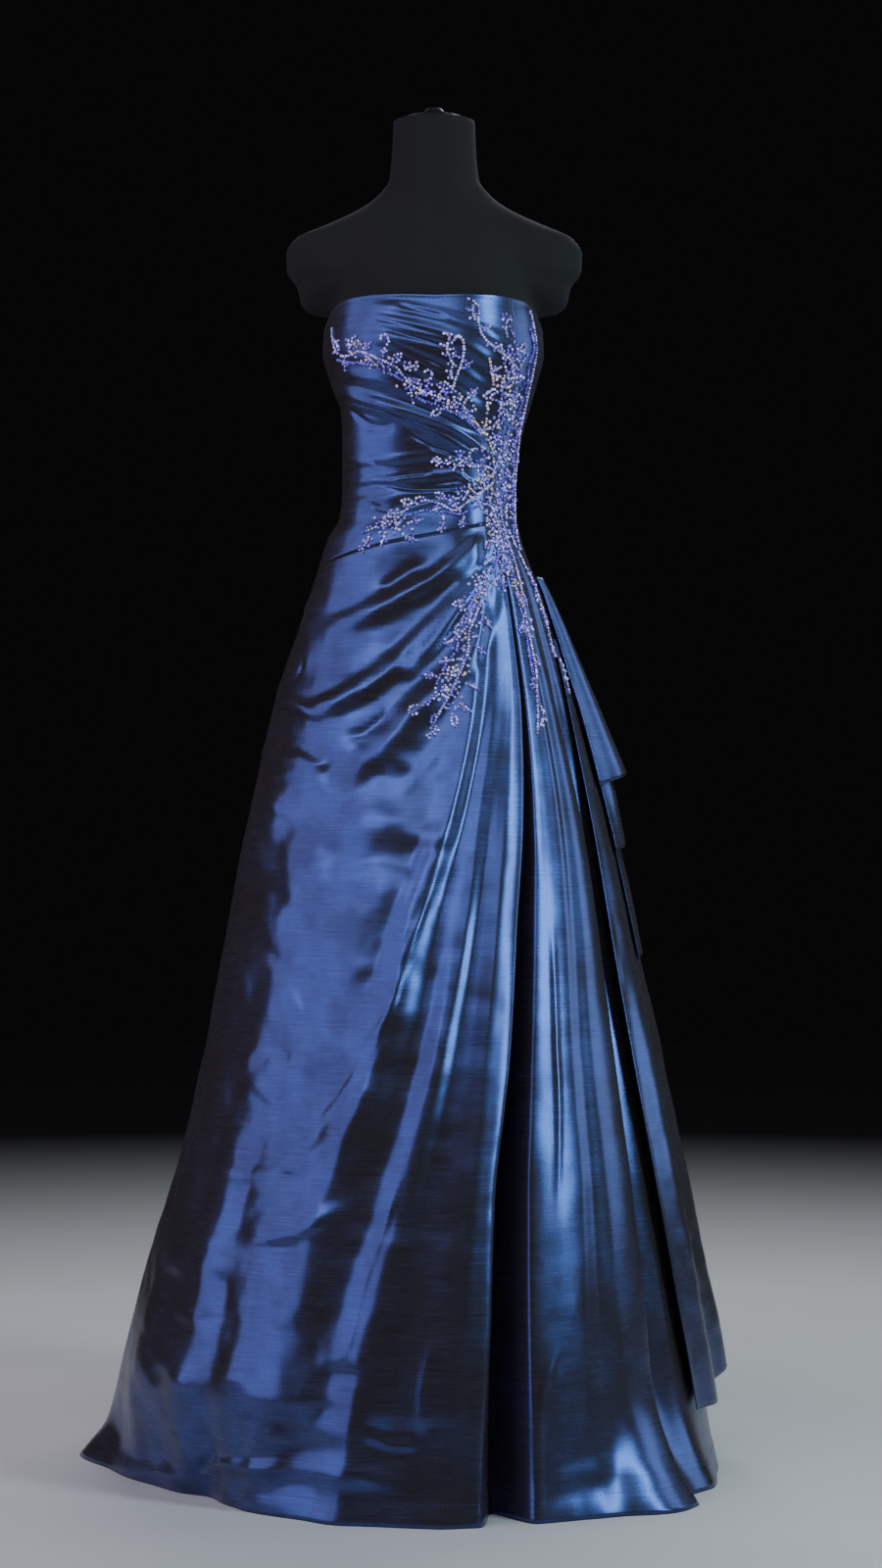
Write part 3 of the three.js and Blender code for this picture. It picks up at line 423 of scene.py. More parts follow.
def crush(turn, z, seed=0):
    """Fine uneven relief of loose taffeta, in mm."""
    u = turn * girth(z)
    bend = 14 * random_sheet(u, z, 90, 70, seed + 1)
    soft = random_sheet(u + bend, z + bend, 52, 46, seed + 2)
    crisp = random_sheet(u - bend, z + 0.4 * bend, 27, 19, seed + 3)
    tiny = random_sheet(u, z + 0.3 * bend, 11, 7, seed + 4)
    return 1.5 * soft + 0.5 * crisp + 0.07 * tiny


print("crushed relief in mm:", crush(np.linspace(-90, 90, 7), np.full(7, 600.0)).round(2).tolist())

# %% [markdown]
# ## Sheets of cloth
# A sheet can be made as a flat plane that is bent, or by cloth simulation. Both lose the
# exact pleats, so here each sheet is a grid laid straight over the tables above: rows run
# down the cloth and columns across. The outer side is the face of the taffeta. A second
# grid behind it is the lining side, and a rim joins the two, so the sheet is closed and has
# a thickness. Its UV map is measured in metres along the cloth, so that the weave keeps its
# scale wherever the cloth flares.

# %% Grid to mesh
THICK = 1.6           # taffeta and lining together, in mm
OFF_FLOOR = 0.0003    # metres that the inner side keeps from the floor


def new_piece(name, points, faces, material, uv=None):
    """A smooth-shaded object from an array of points and a list of faces."""
    mesh = bpy.data.meshes.new(name)
    mesh.from_pydata(points.tolist(), [], faces)
    mesh.update()
    mesh.shade_smooth()
    if uv is not None:
        layer = mesh.uv_layers.new(name="cloth")
        corner_vertex = np.zeros(len(mesh.loops), int)
        mesh.loops.foreach_get("vertex_index", corner_vertex)
        layer.uv.foreach_set("vector", uv[corner_vertex].ravel())
    mesh.materials.append(material)
    piece = bpy.data.objects.new(name, mesh)
    scene.collection.objects.link(piece)
    return piece


def grid_faces(rows, cols, start=0, flip=False):
    """Quads between the points of a grid that is stored row by row."""
    j, i = np.meshgrid(np.arange(rows - 1), np.arange(cols - 1), indexing="ij")
    a = (start + j * cols + i).ravel()
    quads = np.stack([a, a + cols, a + cols + 1, a + 1], axis=1)
    return quads[:, ::-1] if flip else quads


def rim_faces(rows, cols):
    """Quads that close the two grids of a sheet all round."""
    top, low = np.arange(cols), (rows - 1) * cols + np.arange(cols)
    left, right = np.arange(rows) * cols, np.arange(rows) * cols + cols - 1
    n, quads = rows * cols, []
    for edge, flip in ((top, False), (low, True), (left, True), (right, False)):
        a, b = edge[:-1], edge[1:]
        quad = np.stack([a, b, b + n, a + n], axis=1)
        quads.append(quad[:, ::-1] if flip else quad)
    return np.concatenate(quads)


def cloth_sheet(name, turn, z, out, material, thick=THICK):
    """A closed sheet over rows of turns, heights and rises, from top to bottom."""
    rows, cols = turn.shape
    outer = place(turn, z, out)
    facing = np.cross(np.gradient(outer, axis=0), np.gradient(outer, axis=1))
    patch = np.linalg.norm(facing, axis=2, keepdims=True)
    inner = outer - facing / patch * thick * MM
    inner[..., 2] = np.maximum(inner[..., 2], OFF_FLOOR)
    width = np.linalg.norm(np.diff(outer, axis=1), axis=2)
    u = np.concatenate([np.zeros((rows, 1)), np.cumsum(width, axis=1)], axis=1)
    u += turn[:, :1] * girth(z[:, :1]) * MM
    uv = np.stack([u, z * MM], axis=2).reshape(-1, 2)
    faces = np.concatenate([grid_faces(rows, cols), grid_faces(rows, cols, rows * cols, True),
                            rim_faces(rows, cols)])
    piece = new_piece(name, np.concatenate([outer.reshape(-1, 3), inner.reshape(-1, 3)]),
                      faces.tolist(), material, np.concatenate([uv, uv]))
    rounded = np.arange(len(faces)) < 2 * (rows - 1) * (cols - 1)
    piece.data.polygons.foreach_set("use_smooth", rounded)
    print(f"{name}: {rows} x {cols} points, {patch.sum():.3f} square metres, {2 * len(faces)} triangles")
    return piece


print("a sheet of cloth is", THICK, "mm thick")

# %% How a sheet's edges look
SEAM = 0.14           # gap between two panels that are sewn together, in mm
HEM_DEPTH = 24        # the hem is turned up by this many mm


def edge_fade(row_share, col_share, ends=0.03):
    """1 in the middle of a sheet and 0 at its edges."""
    away = np.minimum(np.minimum(row_share, 1 - row_share), np.minimum(col_share, 1 - col_share))
    return soft_step(np.clip(away / ends, 0, 1))


def bell(x, middle, half):
    return np.exp(-((x - middle) / half) ** 2)


def seam_dip(mm_from_edge, depth):
    """The cloth sinks a little where it is stitched, and swells beside it."""
    return -depth * bell(mm_from_edge, 0, 1.6) + 0.5 * depth * bell(mm_from_edge, 5, 2.4)


def side_dips(turn, z, depth):
    """A dip along both side edges of a panel."""
    return (seam_dip((turn - turn[:, :1]) * girth(z), depth)
            + seam_dip((turn[:, -1:] - turn) * girth(z), depth))


def hem_fold(z):
    """A turned-up hem shows as a faint groove where its fold is caught."""
    return -0.35 * bell(z, HEM_DEPTH, 1.8) + 0.25 * bell(z, HEM_DEPTH / 2, 9)


def apart(turn, z):
    """The same turns with half a seam's gap kept at both side edges."""
    gap = SEAM / 2 / girth(z)
    turn = turn.copy()
    turn[:, 0] += gap[:, 0]
    turn[:, -1] -= gap[:, -1]
    return turn


print("hem groove in mm:", round(float(hem_fold(HEM_DEPTH)), 2))


# %% [markdown]
# ## Shader maths as expressions
# A node tree is hard to read as a list of links. The small class below wraps one output
# socket, so that `1 - mask * 0.4` adds the Math nodes by itself. Any other node comes from
# `node`, which takes its type, its settings and what goes into its sockets.

# %% A socket that can be added and multiplied
class Socket:
    def __init__(self, tree, output):
        self.tree, self.output = tree, output

    def maths(self, operation, first, second):
        return self.tree.node("ShaderNodeMath", {"operation": operation}, {0: first, 1: second})

    def __add__(self, other):
        return self.maths("ADD", self, other)

    def __radd__(self, other):
        return self.maths("ADD", other, self)

    def __sub__(self, other):
        return self.maths("SUBTRACT", self, other)

    def __rsub__(self, other):
        return self.maths("SUBTRACT", other, self)

    def __mul__(self, other):
        return self.maths("MULTIPLY", self, other)

    def __rmul__(self, other):
        return self.maths("MULTIPLY", other, self)


class Finish:
    """A material that is built node by node."""

    def __init__(self, name):
        self.material = bpy.data.materials.new(name)
        self.material.use_nodes = True
        self.nodes, self.links = self.material.node_tree.nodes, self.material.node_tree.links
        self.nodes.clear()

    def node(self, kind, settings, inputs, output=0):
        """Any node: its type, its settings, what goes into its sockets, and which one comes out."""
        made = self.nodes.new(kind)
        for key, value in settings.items():
            setattr(made, key, value)
        for key, value in inputs.items():
            if isinstance(value, Socket):
                self.links.new(value.output, made.inputs[key])
            else:
                made.inputs[key].default_value = value
        return Socket(self, made.outputs[output]) if output is not None else made

    def noise(self, vector, scale, detail):
        return self.node("ShaderNodeTexNoise", {}, {
            "Vector": vector, "Scale": scale, "Detail": detail, "Roughness": 0.55})

    def stretched(self, vector, scale):
        return self.node("ShaderNodeMapping", {}, {"Vector": vector, "Scale": scale})

    def range(self, value, low, high):
        """0 below the low value, 1 above the high one."""
        return self.node("ShaderNodeMapRange", {"clamp": True}, {
            "Value": value, "From Min": low, "From Max": high, "To Min": 0.0, "To Max": 1.0})

    def mix(self, share, first, second):
        return self.node("ShaderNodeMix", {"data_type": "RGBA"},
                         {0: share, 6: first, 7: second}, output=2)

    def bump(self, height, strength, distance):
        return self.node("ShaderNodeBump", {}, {
            "Height": height, "Strength": strength, "Distance": distance})

    def coordinates(self):
        return self.node("ShaderNodeTexCoord", {}, {}, output="Object")

    def principled(self, inputs):
        return self.node("ShaderNodeBsdfPrincipled", {}, inputs)

    def surface(self, shader):
        self.node("ShaderNodeOutputMaterial", {}, {"Surface": shader}, output=None)
        return self.material


print("a finish has", [name for name in vars(Finish) if name[0] != "_"])

# %% [markdown]
# ## Shot taffeta
# Shot taffeta has black threads one way and blue threads the other. Its smooth filaments
# act almost like metal: a fold that faces a light turns icy blue, and one that does not is
# nearly black. A fabric shader with sheen stays too pale at its edges for that. So two
# thirds of the surface are metallic blue threads with a thin coat for the sharpest glints,
# and one third is a dull dark ground. The UV map is in metres along the cloth, so noise
# that is stretched along it gives slubs, warp lines and streaks at their real size.

# %% Taffeta material
BLUE_THREADS_DARK, BLUE_THREADS = (0.02, 0.04, 0.17, 1), (0.045, 0.1, 0.39, 1)
GROUND_DARK, GROUND = (0.065, 0.052, 0.056, 1), (0.11, 0.09, 0.098, 1)
GROUND_SHARE = 0.33


def taffeta_finish():
    f = Finish("shot_taffeta")
    cloth = f.node("ShaderNodeUVMap", {"uv_map": "cloth"}, {})
    slubs = f.noise(f.stretched(cloth, (22, 620, 1)), 1.0, 3.0)
    streaks = f.noise(f.stretched(cloth, (9, 150, 1)), 1.0, 2.0)
    warp = f.noise(f.stretched(cloth, (520, 14, 1)), 1.0, 2.0)
    clouds = f.noise(f.stretched(cloth, (16, 11, 1)), 1.0, 5.0)
    thread = f.range(slubs, 0.35, 0.7)
    patch = f.range(clouds, 0.38, 0.6)
    height = slubs * 0.55 + warp * 0.12 + streaks * 0.33
    relief = f.bump(height, 0.09, 0.0004)
    threads = f.principled({
        "Base Color": f.mix(thread * 0.35 + patch * 0.65, BLUE_THREADS_DARK, BLUE_THREADS),
        "Metallic": 1.0,
        "Roughness": 0.22 + thread * 0.03 + patch * 0.05,
        "Normal": relief,
        "Coat Weight": 0.3 + thread * 0.2,
        "Coat Roughness": 0.22,
    })
    ground = f.principled({
        "Base Color": f.mix(thread, GROUND_DARK, GROUND),
        "Roughness": 0.6 + patch * 0.1,
        "Specular IOR Level": 0.2,
        "Normal": relief,
    })
    return f.surface(f.node("ShaderNodeMixShader", {}, {0: GROUND_SHARE, 1: threads, 2: ground}))


taffeta = taffeta_finish()
print("taffeta nodes:", len(taffeta.node_tree.nodes))

# %% [markdown]
# ## The skirt's front
# The front is cut in two panels that meet at the bottom of the deep pleat, where the seam
# does not show. Columns follow the folds as they drift, so that each crest is one clean
# line from hip to hem and the mesh spends its points where the cloth turns.

# %% How crushed the front is
NEAR_SEAM = 70        # mm below the hip seam over which the skirt takes on its own relief
STROKE_ENDS = 0.25    # share of a stroke's length over which it fades at each end
LOOSE_BY_TURN = [
    (-90, 0.5), (-75, 1), (-60, 2), (-15, 1.8), (10, 0.5), (30, 0.25), (60, 0.2), (90, 0.2)]
LOOSE_BY_HEIGHT = [(0, 0.4), (40, 1), (900, 1), (1080, 0.6)]
WAIST_CRUSH = [(-90, 0.2), (-84, 1.1), (22, 1.1), (34, 0.3), (50, 0.3)]
loose_by_turn, loose_by_height, waist_crush = map(
    straight, (LOOSE_BY_TURN, LOOSE_BY_HEIGHT, WAIST_CRUSH))


def below_hip(turn, z):
    """0 at the hip seam and above it, 1 once the cloth is well below it."""
    return np.clip((hip_seam(turn) - z) / NEAR_SEAM, 0, 1)


def skirt_crush(turn, z):
    """Crushed relief of the front, which at the hip seam is the bodice's."""
    loose = loose_by_turn(turn) * loose_by_height(z)
    below = below_hip(turn, z)
    return (loose * below + waist_crush(turn) * (1 - below)) * crush(turn, z)


print("crushed most in the left front:", float(loose_by_turn(-60)), "times the plain relief")

# %% Skirt front panels
SKIRT_LENGTH = 1150   # mm from hip to hem, about
ROW_STEP = 5.2        # mm between rows of the skirt's mesh
COLUMN_STEP = 4.6     # mm between its columns, measured along the pleats


def skirt_columns(first, last):
    """Fold number and share of the way to the next one, for each column."""
    columns = []
    for k in range(first, last):
        width = max(abs(fold_turn[k + 1](z) - fold_turn[k](z)) * girth(z) for z in (0.0, 300.0, 600.0))
        deep = max(abs(fold_rise[k + 1](z) - fold_rise[k](z)) for z in (0.0, 300.0))
        count = max(5, int(round(float(width + 0.8 * deep) / COLUMN_STEP)))
        columns += [(k, i / count) for i in range(count)]
    return np.array(columns + [(last - 1, 1.0)])


def skirt_front(name, first, last):
    """A panel between two rows of the fold table, from the hip seam to the hem."""
    columns = skirt_columns(first, last)
    level = np.linspace(0, 1, int(SKIRT_LENGTH / ROW_STEP))[:, None]
    fold, share = columns[:, 0].astype(int), columns[:, 1]
    z = 1100 * (1 - level) + 0 * share
    for _ in range(4):      # a fold's turn depends on the height, and the seam's height on the turn
        turns = np.stack([curve(z) for curve in fold_turn])
        index = np.broadcast_to(fold, z.shape)[None]
        t0 = np.take_along_axis(turns, index, 0)[0]
        t1 = np.take_along_axis(turns, index + 1, 0)[0]
        turn = t0 * (1 - share) + t1 * share
        z = (hip_seam(turn) - SEAM / 2) * (1 - level)
    col_share = np.linspace(0, 1, len(columns))[None, :]
    calm_sides = edge_fade(0.5 + 0 * level, col_share) * np.clip(z / 30, 0, 1)
    side_fade = 1 - below_hip(turn, z) * (1 - calm_sides)
    broad = stroke_rise(turn, z, FRONT_STROKES, STROKE_ENDS) + hem_rise(turn, z)
    out = skirt_rise(turn, z) + broad + skirt_crush(turn, z) * side_fade + hem_fold(z)
    out += side_dips(turn, z, 0.15)
    return cloth_sheet(name, apart(turn, z), z, out, taffeta)


skirt_left_front = skirt_front("gown_skirt_front_drape", 0, DEEP_PLEAT)
skirt_right_front = skirt_front("gown_skirt_front_right", DEEP_PLEAT, len(FOLDS) - 1)

# %% [markdown]
# ## The skirt's back
# The photograph doesn't show the back, so it is finished plainly: two panels with a seam
# down the centre. Such a skirt falls in soft flutes that open towards the hem, which a sine
# wave can give as long as its spacing and height are uneven. A few long drags cross them.

# %% Creases of the back
BACK_CREASES = [
    ("back drag 1", 3, 22, [(-96, 1010), (-118, 986), (-142, 968), (-160, 972)]),
    ("back drag 2", -2.4, 19, [(-94, 905), (-112, 892), (-134, 902)]),
    ("back drag 3", 2.4, 20, [(-112, 780), (-132, 752), (-154, 748)]),
    ("back drag 4", -1.8, 17, [(-98, 664), (-116, 640), (-128, 648)]),
    ("back drag 5", 2.1, 21, [(-138, 556), (-156, 520), (-171, 512)]),
    ("back drag 6", 2.4, 20, [(112, 1030), (132, 996), (151, 990), (166, 1004)]),
    ("back drag 7", -2.4, 18, [(108, 934), (128, 906), (140, 912)]),
    ("back drag 8", 2.4, 22, [(118, 812), (142, 776), (163, 770)]),
    ("back drag 9", -1.8, 17, [(126, 648), (144, 630), (154, 640)]),
    ("back drag 10", 1.8, 19, [(112, 452), (128, 424), (150, 430)]),
    ("back hem break 1", 3, 20, [(-100, 46), (-124, 54), (-148, 44)]),
    ("back hem break 2", 2, 18, [(-158, 60), (-176, 48)]),
    ("back hem break 3", 3, 20, [(104, 42), (126, 52), (144, 46)]),
    ("back hem break 4", 2.5, 18, [(152, 62), (172, 50)]),
]
print(len(BACK_CREASES), "strokes across the back")

# %% Skirt back panels
BACK_FLUTES = {"count": 5, "rise": 18, "top": 1085, "uneven": 0.3}
BACK_LENGTH, BACK_STEP, BACK_COLUMNS = 1130, 8.0, 92


def back_crush(turn, z):
    """Crushed relief of the back, which meets at the centre and is calm at the sides."""
    calm = np.interp(np.abs(turn), [90, 100, 125, 180], [0.15, 0.15, 0.45, 0.45])
    return calm * crush(turn - 180 * np.sign(turn), z, 100)


def flutes(share, z, side):
    """Uneven waves from the side seam, share 0, to the centre back, share 1."""
    spread = np.clip(1 - z / BACK_FLUTES["top"], 0, 1) ** 1.3
    ends = np.clip(np.minimum((share - 0.13) / 0.1, (1 - share) / 0.1), 0, 1)
    wander = 0.05 * np.sin(z / 240 + side) * ends
    return (BACK_FLUTES["rise"] * spread * ends
            * (1 - BACK_FLUTES["uneven"] * (0.5 + 0.5 * np.sin(9 * share + 1.3 * side)))
            * np.sin(np.pi * 2 * BACK_FLUTES["count"] * (share + 0.02 * np.sin(11 * share)) + 6 * wander))


def skirt_back(name, side):
    """A back panel, at the viewer's right of the front for side 1 and at the left for -1."""
    level = np.linspace(0, 1, int(BACK_LENGTH / BACK_STEP))[:, None]
    share = np.linspace(0, 1, BACK_COLUMNS)[None, :]
    share = share if side > 0 else 1 - share
    turn = side * (90 + 90 * share) + 0 * level
    z = (hip_seam(turn) - SEAM / 2) * (1 - level)
    out = flutes(share, z, side)
    out += back_crush(turn, z) * np.interp(z, [0, 60], [0.4, 1])
    out += stroke_rise(turn, z, BACK_CREASES, 0.3) * np.clip((share - 0.03) / 0.12, 0, 1) ** 2
    out += seam_dip((1 - share) * 90 * girth(z), 0.3) + hem_fold(z)
    return cloth_sheet(name, apart(turn, z), z, out, taffeta)


skirt_back_right = skirt_back("gown_skirt_back_right", 1)
skirt_back_left = skirt_back("gown_skirt_back_left", -1)

# %% [markdown]
# ## The bodice
# The bodice is draped over a fitted lining: a bust panel whose pleats run down to the
# right, a midriff that comes out from under its roll, a plain side panel beyond the
# princess seam, and two back panels that close at the zip. Each panel is a grid between its
# own seams, so the seams are real edges of the cloth.

# %% Bodice panels
def bodice_panel(name, left, right, top, low, rows, cols, relief):
    """left and right give a turn by height, top and low give a height by turn."""
    down, across = np.linspace(0, 1, rows)[:, None], np.linspace(0, 1, cols)[None, :]
    z = 1250 + 0 * down + 0 * across
    for _ in range(6):      # until the edges and the corners agree
        turn = left(z) + (right(z) - left(z)) * across
        z = top(turn) + (low(turn) - top(turn)) * down
    below_neckline = neckline(turn) - z
    out = stroke_rise(turn, z, FRONT_STROKES, STROKE_ENDS)
    out += relief(turn, z) * np.clip(below_neckline / 14, 0, 1)
    out += side_dips(turn, z, 0.12)
    out += 0.9 * bell(below_neckline, 2.2, 2.0)     # the rolled edge
    return cloth_sheet(name, apart(turn, z), z, out, taffeta)


def line(turn):
    return lambda z: turn + 0 * z


def beside(edge, by):
    return lambda turn: edge(turn) + by


def bust_relief(turn, z):
    return 0.5 * crush(turn, z)


def midriff_relief(turn, z):
    return waist_crush(turn) * crush(turn, z)


def side_relief(turn, z):
    return 0.3 * crush(turn, z)


half = SEAM / 2
above_roll, below_roll = beside(roll_seam, half), beside(roll_seam, -half)
above_hip = beside(hip_seam, half)
PANELS = [  # piece, left and right edge, top and lower edge, rows, columns, crushed relief
    ("gown_bodice_bust", line(-90), princess, neckline, above_roll, 84, 150, bust_relief),
    ("gown_bodice_midriff", line(-90), princess, below_roll, above_hip, 84, 150, midriff_relief),
    ("gown_bodice_side_right", princess, line(90), neckline, above_hip, 90, 46, side_relief),
    ("gown_bodice_back_right", line(90), line(180), neckline, above_hip, 70, 60, back_crush),
    ("gown_bodice_back_left", line(-180), line(-90), neckline, above_hip, 70, 60, back_crush),
]
bust, midriff, side_right, back_right, back_left = (bodice_panel(*panel) for panel in PANELS)

# %% [markdown]
# ## The cascade
# A cascade is a strip cut on a curve: when its inner edge is sewn straight, its outer edge
# falls in flutes whose hems step down the side. Three short tiers and a long one show.
# They hang clear of the skirt, each in front of the next, as in the CAD model. A short
# tier is one soft wave across. The long one has the turn and rise of five folds by height.

# %% Cascade tiers
CASCADE_TURN = 88.5
CASCADE_PROFILE = [0.02, 0.38, 0.8, 1, 0.8, 0.38, 0.02]
CASCADE = [  # name, drop of the hem's corners, rows of height, reach, lift and half turn
    ("gown_cascade_tier_1", 17, [
        (1078, 6.5, 0.7, 5), (1040, 11.5, 1.1, 6.5), (1000, 15, 2.9, 8), (960, 19.5, 3.6, 9.5),
        (920, 23, 6.2, 11), (880, 28, 7.2, 12.2), (838, 33.5, 7.8, 13.5)]),
    ("gown_cascade_tier_2", 9, [
        (930, 4.5, 3.2, 5), (900, 8, 3.5, 6), (860, 12, 4, 7.2), (820, 14.5, 6.5, 8.4),
        (785, 13, 7, 9.2), (750, 11, 7.6, 10)]),
    ("gown_cascade_tier_3", 7, [
        (830, 2.5, 3.6, 4), (790, 4.5, 4, 5), (750, 6, 4.8, 6), (700, 6, 6, 6.8),
        (660, 5.5, 7.2, 7.4), (618, 4.5, 8.4, 8)]),
]
WALL = 2              # thickness of the CAD model's cloth, in mm
TIER_THICK = 1.2      # the cascade has no lining
TIER_STEP, TIER_COLUMNS = 4, 45


def cascade_tier(name, drop, table):
    zs = [row[0] for row in table][::-1]
    reach, lift, half_turn = (smooth(zs, [row[k] for row in table][::-1]) for k in (1, 2, 3))
    rows = int((zs[-1] - zs[0]) / TIER_STEP)
    z = np.linspace(zs[-1], zs[0], rows)[:, None]
    across = np.linspace(-1, 1, TIER_COLUMNS)[None, :]
    profile = smooth(np.linspace(-1, 1, len(CASCADE_PROFILE)), CASCADE_PROFILE)(across)
    turn = CASCADE_TURN + half_turn(z) * across
    out = lift(z) + WALL + profile * reach(z)
    near_hem = np.clip((zs[1] - z) / (zs[1] - zs[0]), 0, 1) ** 2
    z = z - drop * np.abs(across) * near_hem
    fade = edge_fade(np.linspace(0, 1, rows)[:, None], (across + 1) / 2, 0.12)
    out = out + 0.35 * crush(turn, z, 50) * fade
    return cloth_sheet(name, turn, z, out, taffeta, TIER_THICK)


tiers = [cascade_tier(*tier) for tier in CASCADE]

# %% The long tier
LONG_HEIGHTS = [96, 150, 240, 360, 480, 580, 660, 740, 860, 1000]
LONG_FOLDS = [
    ("front edge", [67, 65, 62.5, 61, 60.5, 60.5, 61, 62.5, 66, 74],
        [4, 4, 4, 4, 4, 3.5, 3, 2, 1.6, 1.15]),
    ("front flute", [75, 73, 70, 68.5, 69, 69.5, 69.5, 70, 74, 80],
        [18, 17, 16, 15, 14, 10, 7, 5, 2.6, 1.15]),
    ("hollow", [81, 80, 78.5, 77.5, 77.5, 78, 78, 78, 80, 84],
        [7, 6.5, 6, 6, 6, 4.6, 3.4, 2.4, 1.6, 1.15]),
    ("side flute", [90, 90, 90, 90, 90, 90, 89, 88, 88, 88],
        [31, 29, 21, 17, 14.5, 10.5, 6, 2.6, 1.6, 1.15]),
    ("back edge", [99, 98, 97, 96, 96, 96, 95, 94, 93, 92], [4, 4, 4, 4, 4, 3.5, 2.4, 1.35, 1.2, 1.1]),
]
LONG_DROP = 14        # mm that its front corner hangs lower and its back one higher
LONG_ROWS, LONG_BETWEEN = 190, 14       # rows, and columns from one fold to the next


def ease(f):
    return 0.5 - 0.5 * np.cos(np.pi * f)


def between(curves, z, columns, eased):
    """Values of neighbouring folds, mixed for each column."""
    parts = [(k, eased(f)) for k, f in columns]
    return np.concatenate([curves[k](z) * (1 - f) + curves[k + 1](z) * f for k, f in parts], axis=1)


def long_tier(name):
    turns = [smooth(LONG_HEIGHTS, fold[1]) for fold in LONG_FOLDS]
    rises = [smooth(LONG_HEIGHTS, fold[2]) for fold in LONG_FOLDS]
    z = np.linspace(LONG_HEIGHTS[-1], LONG_HEIGHTS[0], LONG_ROWS)[:, None]
    last = len(LONG_FOLDS) - 1
    columns = [(k, i / LONG_BETWEEN) for k in range(last) for i in range(LONG_BETWEEN)]
    columns.append((last - 1, 1.0))
    turn = between(turns, z, columns, float)
    rise = between(rises, z, columns, ease)
    hem = LONG_DROP * np.clip((turn - 82) / 8, -1, 1) * np.clip((150 - z) / 54, 0, 1)
    down = np.linspace(0, 1, len(z))[:, None]
    across = np.linspace(0, 1, len(columns))[None, :]
    calm = np.clip((860 - z) / 200, 0, 1)
    out = rise + WALL - 0.5 + 0.7 * calm * crush(turn, z, 60) * edge_fade(down, across, 0.1)
    out += 0.9 * calm * np.exp(-(across - 0.5) ** 2 / 0.0009)
    return cloth_sheet(name, turn, z + hem, out, taffeta, TIER_THICK)


tiers.append(long_tier("gown_cascade_tier_4"))

# %% [markdown]
# ## The dress form
# A dress form is a hard padded torso under a stretched jersey cover. It could be sculpted,
# but its maker turns it from measures, and so does this: rings, as a lathe would make but
# with an uneven section, a narrow ellipse for the body joined to a flatter, wider one for
# the shoulders. Jersey is dull and dark, with a knit too fine to model, so that is a bump.

# %% Form table
FORM = [  # height, half width, front, back, shoulder reach, shoulder half depth
    (850, 112, 80, 88, 0, 0), (858, 126, 91, 99, 0, 0), (885, 137, 97, 108, 0, 0),
    (930, 143, 99, 115, 0, 0), (965, 143, 101, 118, 0, 0), (1000, 137, 101, 117, 0, 0),
    (1030, 129.5, 99, 112, 0, 0), (1055, 123, 97, 107, 0, 0), (1080, 115.5, 94, 101, 0, 0),
    (1104, 108.5, 89, 95, 0, 0), (1126, 102, 85, 90, 0, 0), (1150, 97, 81, 83, 0, 0),
    (1186, 96, 78, 77, 0, 0), (1220, 97.5, 81, 77, 0, 0), (1250, 103, 86, 79, 0, 0),
    (1280, 111, 93, 82, 0, 0), (1312, 120.5, 101.5, 86, 0, 0), (1345, 128, 109, 89.5, 0, 0),
    (1372, 130, 110, 91, 0, 0), (1392, 128, 105.5, 90.5, 0, 0), (1402, 126, 103, 90, 148, 18),
    (1414, 123, 101, 89.4, 163, 34), (1434, 121, 96, 88, 168, 50), (1455, 119, 88, 85, 181, 52),
    (1476, 117, 78, 80, 182, 50), (1494, 111, 66, 74, 171, 46), (1511, 98, 56, 66, 133, 43),
    (1524, 82, 51, 60, 104, 40), (1538, 65, 48, 56, 80, 36), (1558, 57, 47, 53, 57, 30),
    (1596, 52, 46, 51, 0, 0), (1638, 50, 45, 50, 0, 0),
]
FORM_ROWS = [(850, 862, 6), (866, 1392, 120), (1395, 1600, 84), (1606, 1638, 8)]  # from, to, rows
FORM_COLUMNS = 128
SHOULDER_SQUARE = 2.4     # 2 would be an ellipse
CRISP_JOIN = 14           # how sharply the shoulders meet the body


def jersey_finish():
    f = Finish("black_jersey")
    spot = f.coordinates()
    knit = f.node("ShaderNodeTexWave", {"wave_type": "BANDS", "bands_direction": "Z"},
                  {"Vector": spot, "Scale": 420.0, "Distortion": 1.2, "Detail": 2.0})
    fuzz = f.noise(spot, 900.0, 2.0)
    clouds = f.noise(spot, 7.0, 3.0)
    colour = f.mix(fuzz * 0.6 + clouds * 0.4, (0.006, 0.006, 0.0072, 1), (0.019, 0.018, 0.02, 1))
    shader = f.principled({
        "Base Color": colour,
        "Roughness": 0.78 + clouds * 0.14,
        "Specular IOR Level": 0.3,
        "Normal": f.bump(knit * 0.5 + fuzz * 0.5, 0.3, 0.0005),
        "Sheen Weight": 0.02,
        "Sheen Roughness": 0.5,
        "Sheen Tint": (0.8, 0.82, 1, 1),
    })
    return f.surface(shader)


